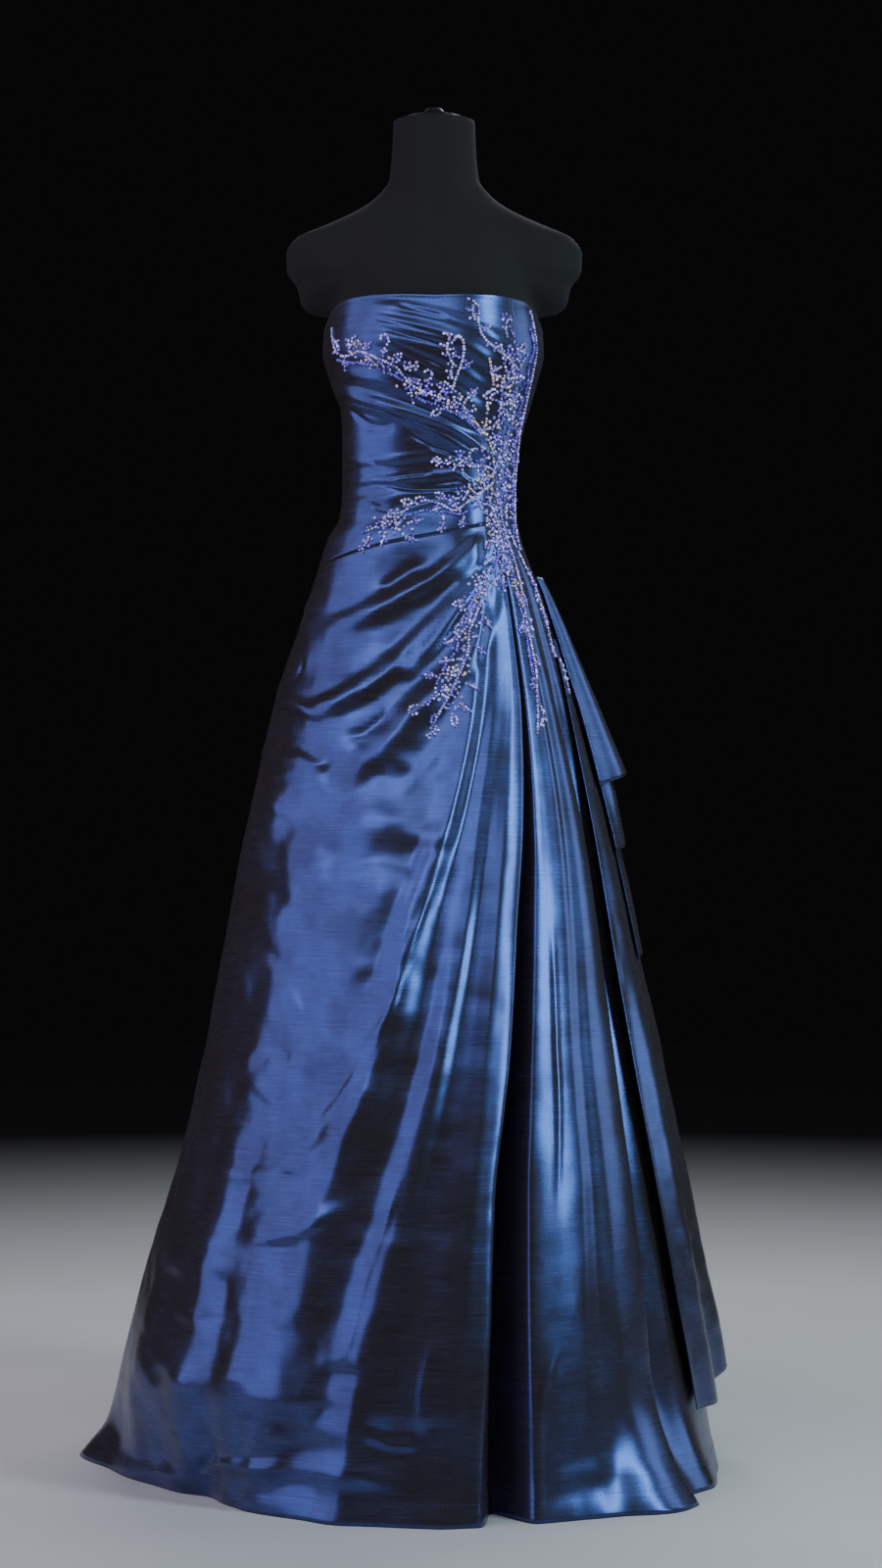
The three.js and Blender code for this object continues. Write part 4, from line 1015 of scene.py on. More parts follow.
def dress_form(name):
    table = [smooth([row[0] for row in FORM], [row[k] for row in FORM]) for k in range(1, 6)]
    z = np.concatenate([np.linspace(*span) for span in FORM_ROWS])[:, None]
    turn = np.linspace(0, 360, FORM_COLUMNS, endpoint=False)[None, :]
    half_width, front, back, reach, depth = (curve(z) for curve in table)
    s, c = np.sin(np.radians(turn)), np.cos(np.radians(turn))
    body = 1 / np.hypot(s / half_width, c / np.where(c > 0, front, back))
    cap = (np.abs(s / np.maximum(reach, 1)) ** SHOULDER_SQUARE
           + np.abs(c / np.maximum(depth, 1)) ** SHOULDER_SQUARE) ** (-1 / SHOULDER_SQUARE)
    cap = np.where(reach > 1, cap, 0)
    far = (body ** CRISP_JOIN + cap ** CRISP_JOIN) ** (1 / CRISP_JOIN)
    rings = np.stack([far * s, -far * c, z + 0 * s], axis=2) * MM
    rows, cols = rings.shape[:2]
    points = np.concatenate([rings.reshape(-1, 3), [[0, 0, z[0, 0] * MM], [0, 0, z[-1, 0] * MM]]])
    ring = [(i, (i + 1) % cols) for i in range(cols)]
    faces = [(j + i, j + k, j + cols + k, j + cols + i)
             for j in range(0, (rows - 1) * cols, cols) for i, k in ring]
    bottom, last = rows * cols, (rows - 1) * cols
    for i, k in ring:
        faces += [(bottom, k, i), (bottom + 1, last + i, last + k)]
    print(name, "faces:", len(faces))
    return new_piece(name, points, faces, jersey)


jersey = jersey_finish()
form = dress_form("display_dress_form")

# %% [markdown]
# ## Satin metals
# The stand and the zip are plain metal parts. They could be modelled again, but their CAD
# nodes already have the real shape, so they stay and only get a finish. Powder coat shows a
# fine orange peel, and the zip's nickel a fine grain with duller patches. One function makes
# both, because they differ only in colour, roughness and the size of the grain.

# %% Metal materials
def metal_finish(name, dark, light, rough, metallic, grain):
    f = Finish(name)
    spot = f.coordinates()
    peel = f.noise(spot, grain, 3.0)
    wear = f.noise(spot, grain / 14, 4.0)
    shader = f.principled({
        "Base Color": f.mix(f.range(wear, 0.3, 0.7), dark, light),
        "Metallic": metallic,
        "Roughness": rough + wear * 0.16,
        "Normal": f.bump(peel, 0.15, 0.0004),
    })
    return f.surface(shader)


stand_metal = metal_finish(
    "satin_black_metal", (0.012, 0.012, 0.014, 1), (0.03, 0.03, 0.034, 1), 0.34, 0.4, 700.0)
zip_metal = metal_finish(
    "brushed_nickel", (0.42, 0.43, 0.46, 1), (0.66, 0.67, 0.7, 1), 0.22, 1.0, 1400.0)

for metal, node_names in ((stand_metal, ("stand_pole", "stand_base", "neck_cap")),
                          (zip_metal, ("zip_slider", "zip_pin", "zip_pull"))):
    for node_name in node_names:
        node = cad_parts[node_name]
        node.data.materials.clear()
        node.data.materials.append(metal)
print("metal parts keep their CAD shapes")

# %% [markdown]
# ## Beadwork
# Beads are sewn on in sprays: a vine first, then leaves, scrolls and flowers beside it, and
# loose beads where sprays meet. Thousands of beads by hand would be hopeless, and a particle
# system would scatter them. So each motif is drawn flat in millimetres, laid on the cloth at
# a turn and height, and cut into evenly spaced places. A ray from outside finds the cloth
# and its slope at each place, so every bead sits on the pleat below it. Geometry Nodes then
# put one bead on each place.

# %% Motifs drawn flat
def leaf(length):
    """A pointed leaf with a vein, from its stem at the origin along +x."""
    s = np.linspace(0, 1, 30)
    edge = np.stack([s * length, 0.24 * length * np.sin(np.pi * s) ** 0.8], axis=1)
    vein = np.stack([0.75 * length * s, 0 * s], axis=1)
    return [edge, edge * [1, -1], vein]


def flower(radius, petals=5):
    """An outline with petals, a ring and a middle."""
    a = np.linspace(0, 2 * np.pi, 120)
    r = radius * (0.68 + 0.32 * np.cos(petals * a))
    b = np.linspace(0, 2 * np.pi, 20)
    return [np.stack([r * np.cos(a), r * np.sin(a)], axis=1),
            0.24 * radius * np.stack([np.cos(b), np.sin(b)], axis=1), np.zeros((1, 2))]


def scroll(size):
    """A stem that ends in a curl."""
    s = np.linspace(0, 1, 60)
    a, r = 4.6 * s - 1.2, size * 0.5 * (1 - 0.75 * s)
    curl = np.stack([size * 0.7 + r * np.sin(a), size * 0.4 - r * np.cos(a)], axis=1)
    return [np.vstack([[[0, 0]], curl])]


def sprig(length):
    """A curved stem with a bead at the tip of each of its short side stems."""
    s = np.linspace(0, 1, 24)
    stem = np.stack([length * s, 0.16 * length * np.sin(np.pi * s)], axis=1)
    tips = [np.array([stem[k], stem[k] + [0.09 * length, side * 0.2 * length]])
            for k, side in ((6, 1), (10, -1), (14, 1), (18, -1), (22, 1))]
    return [stem] + tips


MOTIFS = {"leaf": leaf, "flower": flower, "scroll": scroll, "sprig": sprig}
print("motifs:", list(MOTIFS))

# %% Where the sprays lie
SPRAYS = [  # motif, bead, turn, height, its direction in degrees, size in mm
    ("sprig", "silver", -63, 1362, -60, 26), ("leaf", "violet", -57, 1350, 200, 15),
    ("leaf", "violet", -53, 1338, 250, 16), ("flower", "silver", -45, 1350, 10, 11),
    ("leaf", "violet", -39, 1342, 30, 15), ("leaf", "violet", -37, 1334, -40, 15),
    ("flower", "violet", -29, 1328, 0, 11), ("scroll", "silver", -25, 1338, 70, 18),
    ("leaf", "silver", -22, 1325, 40, 14), ("leaf", "violet", -20, 1316, -60, 15),
    ("sprig", "silver", -18, 1312, 20, 20), ("leaf", "violet", -15, 1304, -20, 16),
    ("leaf", "violet", -14, 1296, -80, 14), ("scroll", "silver", -9, 1300, 20, 18),
    ("leaf", "violet", -8, 1288, 10, 16), ("flower", "violet", 2, 1286, 20, 11),
    ("sprig", "silver", 10, 1322, 95, 34), ("leaf", "violet", 13, 1330, 150, 15),
    ("leaf", "violet", 14, 1318, 30, 15), ("sprig", "silver", 12, 1300, 100, 22),
    ("leaf", "silver", 9, 1296, 170, 14), ("flower", "champagne", 12, 1278, 0, 11),
    ("leaf", "violet", 20, 1284, 50, 15), ("leaf", "violet", 18, 1268, -30, 15),
    ("leaf", "silver", 4, 1270, 220, 14), ("scroll", "champagne", 22, 1258, -40, 20),
    ("sprig", "silver", 24, 1366, 98, 34), ("leaf", "violet", 26, 1362, 40, 12),
    ("scroll", "silver", 28, 1346, -30, 18), ("sprig", "silver", 40, 1358, 75, 26),
    ("flower", "violet", 43, 1336, 30, 12), ("leaf", "violet", 36, 1344, 170, 14),
    ("leaf", "silver", 50, 1344, 40, 14), ("leaf", "violet", 38, 1322, 210, 14),
    ("flower", "champagne", 42, 1303, 0, 13), ("leaf", "champagne", 35, 1296, 220, 13),
    ("leaf", "violet", 50, 1312, 20, 15), ("leaf", "violet", 50, 1292, -30, 14),
    ("sprig", "silver", 33, 1276, 60, 20), ("leaf", "violet", 44, 1276, 100, 14),
    ("scroll", "silver", 52, 1268, 80, 18), ("leaf", "champagne", 30, 1246, 20, 15),
    ("leaf", "violet", 40, 1250, 60, 14), ("flower", "violet", 47, 1238, 0, 11),
    ("scroll", "silver", 33, 1226, 190, 18), ("leaf", "violet", 38, 1216, 200, 15),
    ("sprig", "silver", 26, 1208, 175, 30), ("leaf", "violet", 22, 1214, 150, 14),
    ("leaf", "violet", 17, 1206, 215, 14), ("sprig", "silver", 10, 1206, 160, 18),
    ("flower", "champagne", 36, 1192, 0, 12), ("leaf", "violet", 45, 1204, 60, 14),
    ("flower", "silver", 26, 1174, 20, 13), ("leaf", "violet", 31, 1164, -60, 15),
    ("flower", "violet", 15, 1160, 0, 12), ("leaf", "silver", 8, 1164, 150, 14),
    ("leaf", "violet", 6, 1154, 200, 15), ("scroll", "silver", -1, 1160, 150, 18),
    ("leaf", "silver", -12, 1160, 170, 13), ("sprig", "silver", -16, 1152, 190, 20),
    ("flower", "silver", -24, 1138, 10, 12), ("leaf", "violet", -33, 1130, 200, 15),
    ("leaf", "violet", -26, 1122, 260, 15), ("leaf", "violet", -16, 1120, -30, 15),
    ("sprig", "silver", -36, 1126, 250, 24), ("leaf", "violet", -14, 1134, 20, 14),
    ("sprig", "silver", 6, 1142, 250, 18), ("leaf", "violet", 20, 1142, 250, 14),
    ("scroll", "silver", 36, 1150, -70, 18), ("leaf", "violet", 42, 1150, -40, 15),
    ("flower", "champagne", 42, 1128, 0, 11), ("leaf", "violet", 48, 1118, -50, 15),
    ("leaf", "silver", 38, 1114, 220, 14), ("flower", "violet", 44, 1094, 0, 11),
    ("leaf", "violet", 36, 1092, 210, 15), ("scroll", "champagne", 48, 1078, -80, 18),
    ("leaf", "violet", 40, 1070, -110, 15), ("sprig", "silver", 31, 1078, 225, 28),
    ("leaf", "violet", 27, 1066, 200, 14), ("leaf", "champagne", 24, 1056, 250, 14),
    ("flower", "violet", 21, 1040, 0, 11), ("leaf", "silver", 15, 1036, 190, 14),
    ("leaf", "violet", 18, 1022, 250, 15), ("leaf", "violet", 24, 1018, -60, 14),
    ("scroll", "silver", 13, 1016, 230, 18), ("flower", "silver", 14, 996, 0, 11),
    ("leaf", "violet", 8, 990, 200, 14), ("leaf", "violet", 18, 984, -40, 15),
    ("sprig", "silver", 13, 978, 250, 24), ("leaf", "champagne", 8, 966, 190, 14),
    ("flower", "champagne", 8, 950, 0, 12), ("leaf", "violet", 1, 946, 170, 15),
    ("leaf", "violet", 13, 938, -30, 14), ("flower", "silver", 3, 924, 0, 11),
    ("leaf", "violet", 10, 914, -40, 15), ("scroll", "silver", -3, 914, 200, 18),
    ("leaf", "violet", 1, 902, 250, 15), ("leaf", "silver", 7, 900, 280, 14),
    ("sprig", "silver", 1, 890, 235, 18), ("leaf", "violet", 50, 1052, -70, 15),
    ("sprig", "silver", 49, 1030, -95, 30), ("leaf", "violet", 46, 1014, -120, 13),
    ("leaf", "silver", 49, 978, -70, 14), ("leaf", "violet", 45, 946, -120, 13),
    ("sprig", "silver", 45, 916, -100, 26), ("leaf", "violet", 72, 1030, -60, 12),
    ("leaf", "silver", 72, 996, -110, 12), ("sprig", "silver", 73, 976, -85, 24),
]
VINES = [  # bead, path of turns and heights
    ("silver", [(-66, 1376), (-63, 1358), (-58, 1342), (-50, 1338), (-40, 1340), (-30, 1330),
        (-20, 1318), (-14, 1300), (-6, 1290), (6, 1282)]),
    ("violet", [(-60, 1336), (-50, 1330), (-38, 1326), (-28, 1316), (-18, 1304), (-10, 1284),
        (4, 1272), (16, 1262), (30, 1246)]),
    ("silver", [(9, 1346), (12, 1354), (15, 1346), (15, 1326), (12, 1306), (10, 1290)]),
    ("silver", [(21, 1398), (24, 1390), (23, 1372), (26, 1354), (34, 1342), (42, 1334), (52, 1322)]),
    ("violet", [(38, 1384), (42, 1370), (47, 1350), (52, 1332), (56, 1310)]),
    ("silver", [(63, 1396), (65, 1370), (67, 1340), (69, 1310), (71, 1284), (73, 1258), (75, 1232),
        (76, 1208), (76, 1184), (75, 1160), (72, 1136), (68, 1110)]),
    ("violet", [(60, 1372), (63, 1352), (61, 1330), (65, 1308), (64, 1280), (68, 1254), (67, 1228),
        (71, 1200), (69, 1172), (69, 1150), (64, 1124)]),
    ("champagne", [(30, 1330), (34, 1310), (36, 1290), (34, 1268), (36, 1244), (42, 1222),
        (44, 1196), (42, 1168)]),
    ("champagne", [(4, 1276), (12, 1268), (22, 1264), (30, 1250), (40, 1240), (50, 1238)]),
    ("silver", [(2, 1214), (8, 1206), (16, 1212), (26, 1204), (36, 1206), (46, 1200)]),
    ("silver", [(-18, 1156), (-8, 1162), (4, 1158), (14, 1150), (22, 1160), (32, 1172), (42, 1184)]),
    ("violet", [(-36, 1130), (-28, 1142), (-16, 1144), (-6, 1150), (6, 1148), (18, 1146),
        (30, 1156), (40, 1162)]),
    ("silver", [(40, 1168), (46, 1146), (47, 1122), (45, 1098), (40, 1078), (32, 1062), (25, 1044),
        (20, 1022), (16, 1000), (14, 974), (10, 950), (6, 926), (2, 904), (-1, 884)]),
    ("violet", [(45, 1160), (42, 1134), (42, 1108), (37, 1084), (29, 1068), (21, 1050), (15, 1026),
        (12, 1004), (10, 980), (5, 960), (1, 936), (-2, 912)]),
    ("champagne", [(50, 1140), (50, 1112), (49, 1084), (47, 1060), (49, 1036)]),
    ("silver", [(51, 1168), (53, 1136), (54, 1100), (52, 1064), (50, 1030), (49, 996), (48, 962),
        (45, 930), (43, 902), (41, 880)]),
    ("silver", [(60, 1130), (66, 1094), (71, 1060), (72, 1026), (72, 990), (74, 956), (73, 934)]),
    ("violet", [(46, 1050), (47, 1016), (46, 984), (45, 952)]),
]
CLUSTERS = [  # turn, height, half width in mm, half height in mm, beads
    (48, 1318, 24, 40, 90), (52, 1268, 30, 32, 150), (56, 1222, 32, 32, 170), (56, 1180, 30, 28, 150),
    (50, 1146, 28, 26, 120), (20, 1164, 26, 12, 50), (46, 1120, 16, 26, 100), (45, 1084, 12, 26, 70),
    (26, 1062, 16, 16, 40), (17, 1020, 12, 22, 50), (12, 980, 12, 22, 40), (6, 930, 16, 32, 90),
    (48, 1010, 6, 36, 26), (-24, 1132, 22, 12, 40), (-45, 1346, 16, 12, 26), (-28, 1326, 26, 12, 40),
    (-10, 1294, 20, 14, 44), (14, 1276, 22, 16, 60), (70, 1060, 8, 36, 40),
]
print(len(SPRAYS), "motifs,", len(VINES), "vines,", len(CLUSTERS), "clusters")

# %% Places for the beads
BEAD_KINDS = ["silver", "violet", "champagne"]
BEAD_STEP = 3.7          # mm from bead to bead along a line
LOOSE_GAP = 3.1          # two beads are never nearer than this, in mm
SEWN_BY_HAND = 0.18      # how far a bead strays, in mm
SCATTER = 0.45           # spread of a cluster's beads, as a share of its half size
SCATTER_MIX = [0.45, 0.4, 0.15]


def spaced(path):
    """Points at an even step along a flat path in millimetres."""
    if len(path) == 1:
        return path
    gone = np.r_[0, np.cumsum(np.hypot(*np.diff(path, axis=0).T))]
    at = np.linspace(0, gone[-1], max(2, int(round(gone[-1] / BEAD_STEP)) + 1))
    return np.stack([np.interp(at, gone, path[:, k]) for k in (0, 1)], axis=1)


def laid(points, turn, z, degrees):
    """Flat millimetres to turns and heights, round a place on the cloth."""
    a = math.radians(degrees)
    x = points[:, 0] * math.cos(a) - points[:, 1] * math.sin(a)
    y = points[:, 0] * math.sin(a) + points[:, 1] * math.cos(a)
    return np.stack([turn + x / girth(z), z + y], axis=1)


def drawn_places():
    """Beads along the vines and the motifs, as turns and heights for each kind."""
    places = {kind: [] for kind in BEAD_KINDS}
    for kind, path in VINES:
        p = flowing(path, 8)
        flat = np.stack([p[:, 0] * girth(p[:, 1]), p[:, 1]], axis=1)
        places[kind] += [(x / girth(z), z) for x, z in spaced(flat)]
    for motif, kind, turn, z, degrees, size in SPRAYS:
        for number, part in enumerate(MOTIFS[motif](size)):
            bead = kind
            if motif == "flower" and number:
                bead = "champagne" if kind != "champagne" else "silver"
            elif motif == "leaf" and number == 2:
                bead = "silver" if kind != "silver" else "violet"
            places[bead] += laid(spaced(part), turn, z, degrees).tolist()
    return places


def add_clusters(places, chance):
    for turn, z, wide, tall, count in CLUSTERS:
        spread = chance.normal(0, SCATTER, (count, 2)) * [wide, tall]
        kinds = chance.choice(BEAD_KINDS, count, p=SCATTER_MIX)
        for kind, place_at in zip(kinds, laid(spread, turn, z, 0).tolist()):
            places[kind].append(place_at)


def sewn(places, chance):
    """Each bead strays a little, and one that would touch an earlier bead is left out."""
    kept, taken = {kind: [] for kind in places}, {}
    for kind, rows in places.items():
        for turn, z in rows:
            z = float(z + chance.normal(0, SEWN_BY_HAND))
            turn = float(turn + chance.normal(0, SEWN_BY_HAND) / girth(z))
            x = turn * float(girth(z))
            i, j = int(x // LOOSE_GAP), int(z // LOOSE_GAP)
            near = [q for a in (i - 1, i, i + 1) for b in (j - 1, j, j + 1) for q in taken.get((a, b), [])]
            if all(math.hypot(x - q[0], z - q[1]) > LOOSE_GAP for q in near):
                taken.setdefault((i, j), []).append((x, z))
                kept[kind].append((turn, z))
    return kept


def bead_places():
    chance = np.random.default_rng(SEED)
    places = drawn_places()
    add_clusters(places, chance)
    return sewn(places, chance)


places = bead_places()
print({kind: len(rows) for kind, rows in places.items()}, "beads")

# %% Rays on to the cloth
ABOVE = 55            # a ray starts this many mm outside the plain form
RAY_REACH = 0.12      # and looks this many metres inwards


def solid_tree(pieces):
    """All the pieces' faces in one tree that rays can be sent at."""
    points, faces = [], []
    for piece in pieces:
        start = len(points)
        points += [vertex.co.copy() for vertex in piece.data.vertices]
        faces += [[start + k for k in polygon.vertices] for polygon in piece.data.polygons]
    return BVHTree.FromPolygons(points, faces)


def on_cloth(tree, rows):
    """Points on the cloth and the way it faces there, for turns and heights."""
    found, facing = [], []
    for turn, z in rows:
        start = Vector(place(np.array(turn), np.array(z), ABOVE).tolist())
        aim = Vector(place(np.array(turn), np.array(z), 0.0).tolist())
        hit, normal, _, _ = tree.ray_cast(start, (aim - start).normalized(), RAY_REACH)
        if hit is not None:
            found.append(tuple(hit))
            facing.append(tuple(normal))
    return found, facing


front_tree = solid_tree([bust, midriff, side_right, skirt_left_front, skirt_right_front] + tiers)
print("beads land on the cloth at, first silver one:", on_cloth(front_tree, places["silver"][:1])[0])

# %% A Geometry Nodes tree that sets one small shape on each place
class Pattern(Finish):
    """A Geometry Nodes tree, built with the same `node` method as a material."""

    def __init__(self, name, inputs):
        self.group = bpy.data.node_groups.new(name, "GeometryNodeTree")
        self.nodes, self.links = self.group.nodes, self.group.links
        face = self.group.interface
        face.new_socket("Places", in_out="INPUT", socket_type="NodeSocketGeometry")
        for title, kind in inputs:
            face.new_socket(title, in_out="INPUT", socket_type=kind)
        face.new_socket("Geometry", in_out="OUTPUT", socket_type="NodeSocketGeometry")
        self.inside = self.nodes.new("NodeGroupInput")

    def given(self, title):
        return Socket(self, self.inside.outputs[title])

    def attribute(self, name):
        return self.node("GeometryNodeInputNamedAttribute", {"data_type": "FLOAT_VECTOR"}, {"Name": name})

    def chance(self, low, high, seed):
        return self.node("FunctionNodeRandomValue", {"data_type": "FLOAT"},
                         {"Min": low, "Max": high, "Seed": seed}, output=1)

    def finish(self, geometry):
        self.node("NodeGroupOutput", {}, {0: geometry}, output=None)
        return self.group


def setting_tree(name, shape, material):
    """Beads and stitches: a shape on each place, turned to its axis and a little uneven."""
    g = Pattern(name, [("Width", "NodeSocketFloat"), ("Length", "NodeSocketFloat"),
                       ("Unevenness", "NodeSocketFloat"), ("Seed", "NodeSocketInt")])
    width, length, seed = g.given("Width"), g.given("Length"), g.given("Seed")
    if shape == "cut bead":
        solid = g.node("GeometryNodeMeshIcoSphere", {}, {"Radius": 0.5, "Subdivisions": 1})
    elif shape == "round bead":
        solid = g.node("GeometryNodeMeshUVSphere", {}, {"Segments": 7, "Rings": 5, "Radius": 0.5})
    else:
        solid = g.node("GeometryNodeMeshCylinder", {"fill_type": "TRIANGLE_FAN"},
                       {"Vertices": 8, "Radius": 0.5, "Depth": 1.0})
    uneven = g.chance(1 - g.given("Unevenness"), 1 + g.given("Unevenness"), seed)
    size = g.node("ShaderNodeCombineXYZ", {}, {0: width * uneven, 1: width * uneven, 2: length * uneven})
    along = g.node("FunctionNodeAlignRotationToVector", {"axis": "Z"}, {"Vector": g.attribute("axis")})
    spin = g.node("ShaderNodeCombineXYZ", {}, {2: g.chance(0.0, 6.28, seed + 1)})
    spun = g.node("FunctionNodeRotateRotation", {"rotation_space": "LOCAL"}, {0: along, 1: spin})
    put = g.node("GeometryNodeInstanceOnPoints", {}, {
        "Points": g.given("Places"), "Instance": solid, "Rotation": spun, "Scale": size})
    real = g.node("GeometryNodeRealizeInstances", {}, {0: put})
    return g.finish(g.node("GeometryNodeSetMaterial", {}, {"Geometry": real, "Material": material}))


def grown(name, points, axes, tree, sizes):
    """Runs a tree once on a cloud of places and keeps the result as a plain mesh."""
    cloud = bpy.data.meshes.new(name)
    cloud.from_pydata(points, [], [])
    layer = cloud.attributes.new("axis", "FLOAT_VECTOR", "POINT")
    layer.data.foreach_set("vector", np.array(axes, float).ravel())
    piece = bpy.data.objects.new(name, cloud)
    scene.collection.objects.link(piece)
    modifier = piece.modifiers.new("places", "NODES")
    modifier.node_group = tree
    for item in tree.interface.items_tree:
        if item.in_out == "INPUT" and item.name in sizes:
            modifier[item.identifier] = sizes[item.name]
    evaluated = piece.evaluated_get(bpy.context.evaluated_depsgraph_get())
    mesh = bpy.data.meshes.new_from_object(evaluated)
    piece.modifiers.clear()
    piece.data = mesh
    mesh.name = name
    print(f"{name}: {len(points)} places, {len(mesh.polygons)} faces")
    return piece


# %% [markdown]
# ## Glass of the beads
# Bead glass is tinted, foiled inside and cut, so some facets throw a lamp straight back. A
# clear glass shader would be dark and noisy on beads this small. So each bead is a glossy
# coat over a colour, noise gives neighbouring beads different tints, and a second noise
# makes a few facets glow by emission: a painted highlight that stands in for a lamp thrown
# back, as on the lit ones in the photograph.

# %% Glass and the beads
def glass_finish(name, dark, light, painted_highlight_colour):
    f = Finish(name)
    spot = f.coordinates()
    each = f.noise(spot, 230.0, 1.0)
    # Mask of the facets that get a painted highlight.
    painted_highlight_mask = f.range(f.noise(spot, 310.0, 0.0), 0.5, 0.72)
    film = f.noise(spot, 1500.0, 2.0)
    shader = f.principled({
        "Base Color": f.mix(f.range(each, 0.42, 0.58), dark, light),
        "Metallic": 0.15,
        "Roughness": 0.1 + film * 0.08,
        "Normal": f.bump(film, 0.1, 0.0002),
        "Coat Weight": 1.0,
        "Coat Roughness": 0.05,
        # Painted highlight: a few facets emit light, though a bead is no lamp.
        "Emission Color": f.mix(painted_highlight_mask, (0, 0, 0, 1), painted_highlight_colour),
        "Emission Strength": 1.0,
    })
    return f.surface(shader)


BEADS = {  # bead: shape, width and length in mm, finish
    # The third colour of each glass is its painted highlight, given off by its glowing facets.
    "silver": ("cut bead", 4.1, 3.3, glass_finish(
        "clear_silver_glass", (0.22, 0.17, 0.75, 1), (0.66, 0.6, 1.0, 1), (0.5, 0.42, 0.95, 1))),
    "violet": ("round bead", 4.0, 3.2, glass_finish(
        "violet_blue_glass", (0.08, 0.05, 0.5, 1), (0.26, 0.2, 0.95, 1), (0.14, 0.11, 0.62, 1))),
    "champagne": ("cut bead", 4.0, 3.1, glass_finish(
        "champagne_glass", (0.5, 0.36, 0.46, 1), (1.0, 0.82, 0.78, 1), (0.8, 0.6, 0.58, 1))),
}
BEAD_LIFT = 0.36      # how far a bead's middle stands off the cloth, as a share of its length


def lifted(found, facing, by):
    """Points on the cloth, moved outwards by some millimetres."""
    return [tuple(np.array(hit) + np.array(way) * by * MM) for hit, way in zip(found, facing)]


beadwork = []
for kind, (shape, width, length, glass) in BEADS.items():
    found, facing = on_cloth(front_tree, places[kind])
    middles = lifted(found, facing, length * BEAD_LIFT)
    tree = setting_tree(kind + "_beads", shape, glass)
    beadwork.append(grown("gown_beads_" + kind, middles, facing, tree, {
        "Width": width * MM, "Length": length * MM, "Unevenness": 0.14, "Seed": SEED}))

# %% [markdown]
# ## Stitches and the zip's teeth
# The hem is turned up and caught with small stitches, the neckline is understitched, and
# the zip is sewn in with a row on each side. A texture could only draw them. Here they are
# set by the same tree, on a row of places along each edge, with each stitch turned along
# the edge. The zip's teeth are short rods across the centre back.

# %% Stitches
STITCH = {"length": 3.0, "width": 0.55, "step": 5.5, "lift": 0.12}
BELOW_NECKLINE, BESIDE_ZIP = 6, 7       # mm from the edge to a row of stitches
ZIP_SEWN = (1062, 1358)                 # heights between which the zip is sewn in


def thread_finish():
    f = Finish("navy_thread")
    spot = f.coordinates()
    twist = f.noise(spot, 2600.0, 2.0)
    shader = f.principled({
        "Base Color": f.mix(twist, (0.02, 0.026, 0.11, 1), (0.06, 0.08, 0.26, 1)),
        "Roughness": 0.45 + twist * 0.2,
        "Normal": f.bump(twist, 0.3, 0.0002),
    })
    return f.surface(shader)


def stitch_rows():
    """Rows of turns and heights along the hem, the neckline and the zip."""
    around = np.arange(-179.5, 180, 0.25)
    rows = [np.stack([around, 0 * around + HEM_DEPTH], axis=1),
            np.stack([around, neckline(around) - BELOW_NECKLINE], axis=1)]
    z = np.arange(*ZIP_SEWN, 1.0)
    for side in (-1, 1):
        rows.append(np.stack([side * (180 - BESIDE_ZIP / girth(z)), z], axis=1))
    return rows


def stitched(tree_of_cloth):
    points, axes = [], []
    for row in stitch_rows():
        outer = place(row[:, 0], row[:, 1])
        gone = np.r_[0, np.cumsum(np.linalg.norm(np.diff(outer, axis=0), axis=1))]
        at = np.arange(0, gone[-1], STITCH["step"] * MM)
        even = np.stack([np.interp(at, gone, row[:, k]) for k in (0, 1)], axis=1)
        found, facing = on_cloth(tree_of_cloth, even)
        way = np.gradient(np.array(found), axis=0)
        way /= np.linalg.norm(way, axis=1, keepdims=True)
        points += lifted(found, facing, STITCH["lift"])
        axes += way.tolist()
    return points, axes


gown_pieces = [bust, midriff, side_right, back_right, back_left, skirt_left_front,
               skirt_right_front, skirt_back_right, skirt_back_left]
points, axes = stitched(solid_tree(gown_pieces))
stitches = grown("gown_stitches", points, axes, setting_tree("stitches", "rod", thread_finish()), {
    "Width": STITCH["width"] * MM, "Length": STITCH["length"] * MM, "Unevenness": 0.08, "Seed": SEED})

# %% Zip teeth
ZIP = {"low": 1062, "high": 1343, "step": 1.9, "tooth": 4.2, "width": 1.1, "aside": 0.7, "lift": 0.5}


def zip_teeth():
    """Rods across the centre back, every second one a little to each side."""
    z = np.arange(ZIP["low"], ZIP["high"], ZIP["step"])
    side = np.where(np.arange(len(z)) % 2, 1, -1)
    points = place(np.full(len(z), 180.0), z, ZIP["lift"])
    points[:, 0] += side * ZIP["aside"] * MM
    axes = np.stack([np.ones(len(z)), 0 * z, 0.12 * side], axis=1)
    tree = setting_tree("zip_teeth", "rod", zip_metal)
    return grown("gown_zip_teeth", points.tolist(), axes, tree, {
        "Width": ZIP["width"] * MM, "Length": ZIP["tooth"] * MM, "Unevenness": 0.0, "Seed": SEED})


teeth = zip_teeth()

# %% [markdown]
# ## Floor and light
# The photograph was lit from the sides: one large soft light at the left turns the skirt's
# left front blue, and a narrow one at the right draws the bright lines down the pleats, with
# a weaker one further round. Between them the cloth reflects the dark room. Two weak lights
# high in front reach the bust, and one behind shows the back. The floor is plain and pale
# near the gown. Further back its colour is painted darker, down to black, as painted shade
# where the lamps' light falls off, and there it glows faintly in the room's own colour, a
# painted glow, so that no horizon shows. A pale wall would take the cloth's black away and
# hide the gown from a camera behind it, so there is none.

# %% Floor
STAGE_HALF = 9.0
# Between these distances the floor's colour is painted from pale to black, a painted shade where the
# lamps' light falls off.
PALE_UNTIL, DARK_FROM = 1.5, 4.6          # metres from the gown
ROOM = (0.0035, 0.0035, 0.004, 1)         # colour of the dark room behind it
BLACK = (0, 0, 0, 1)


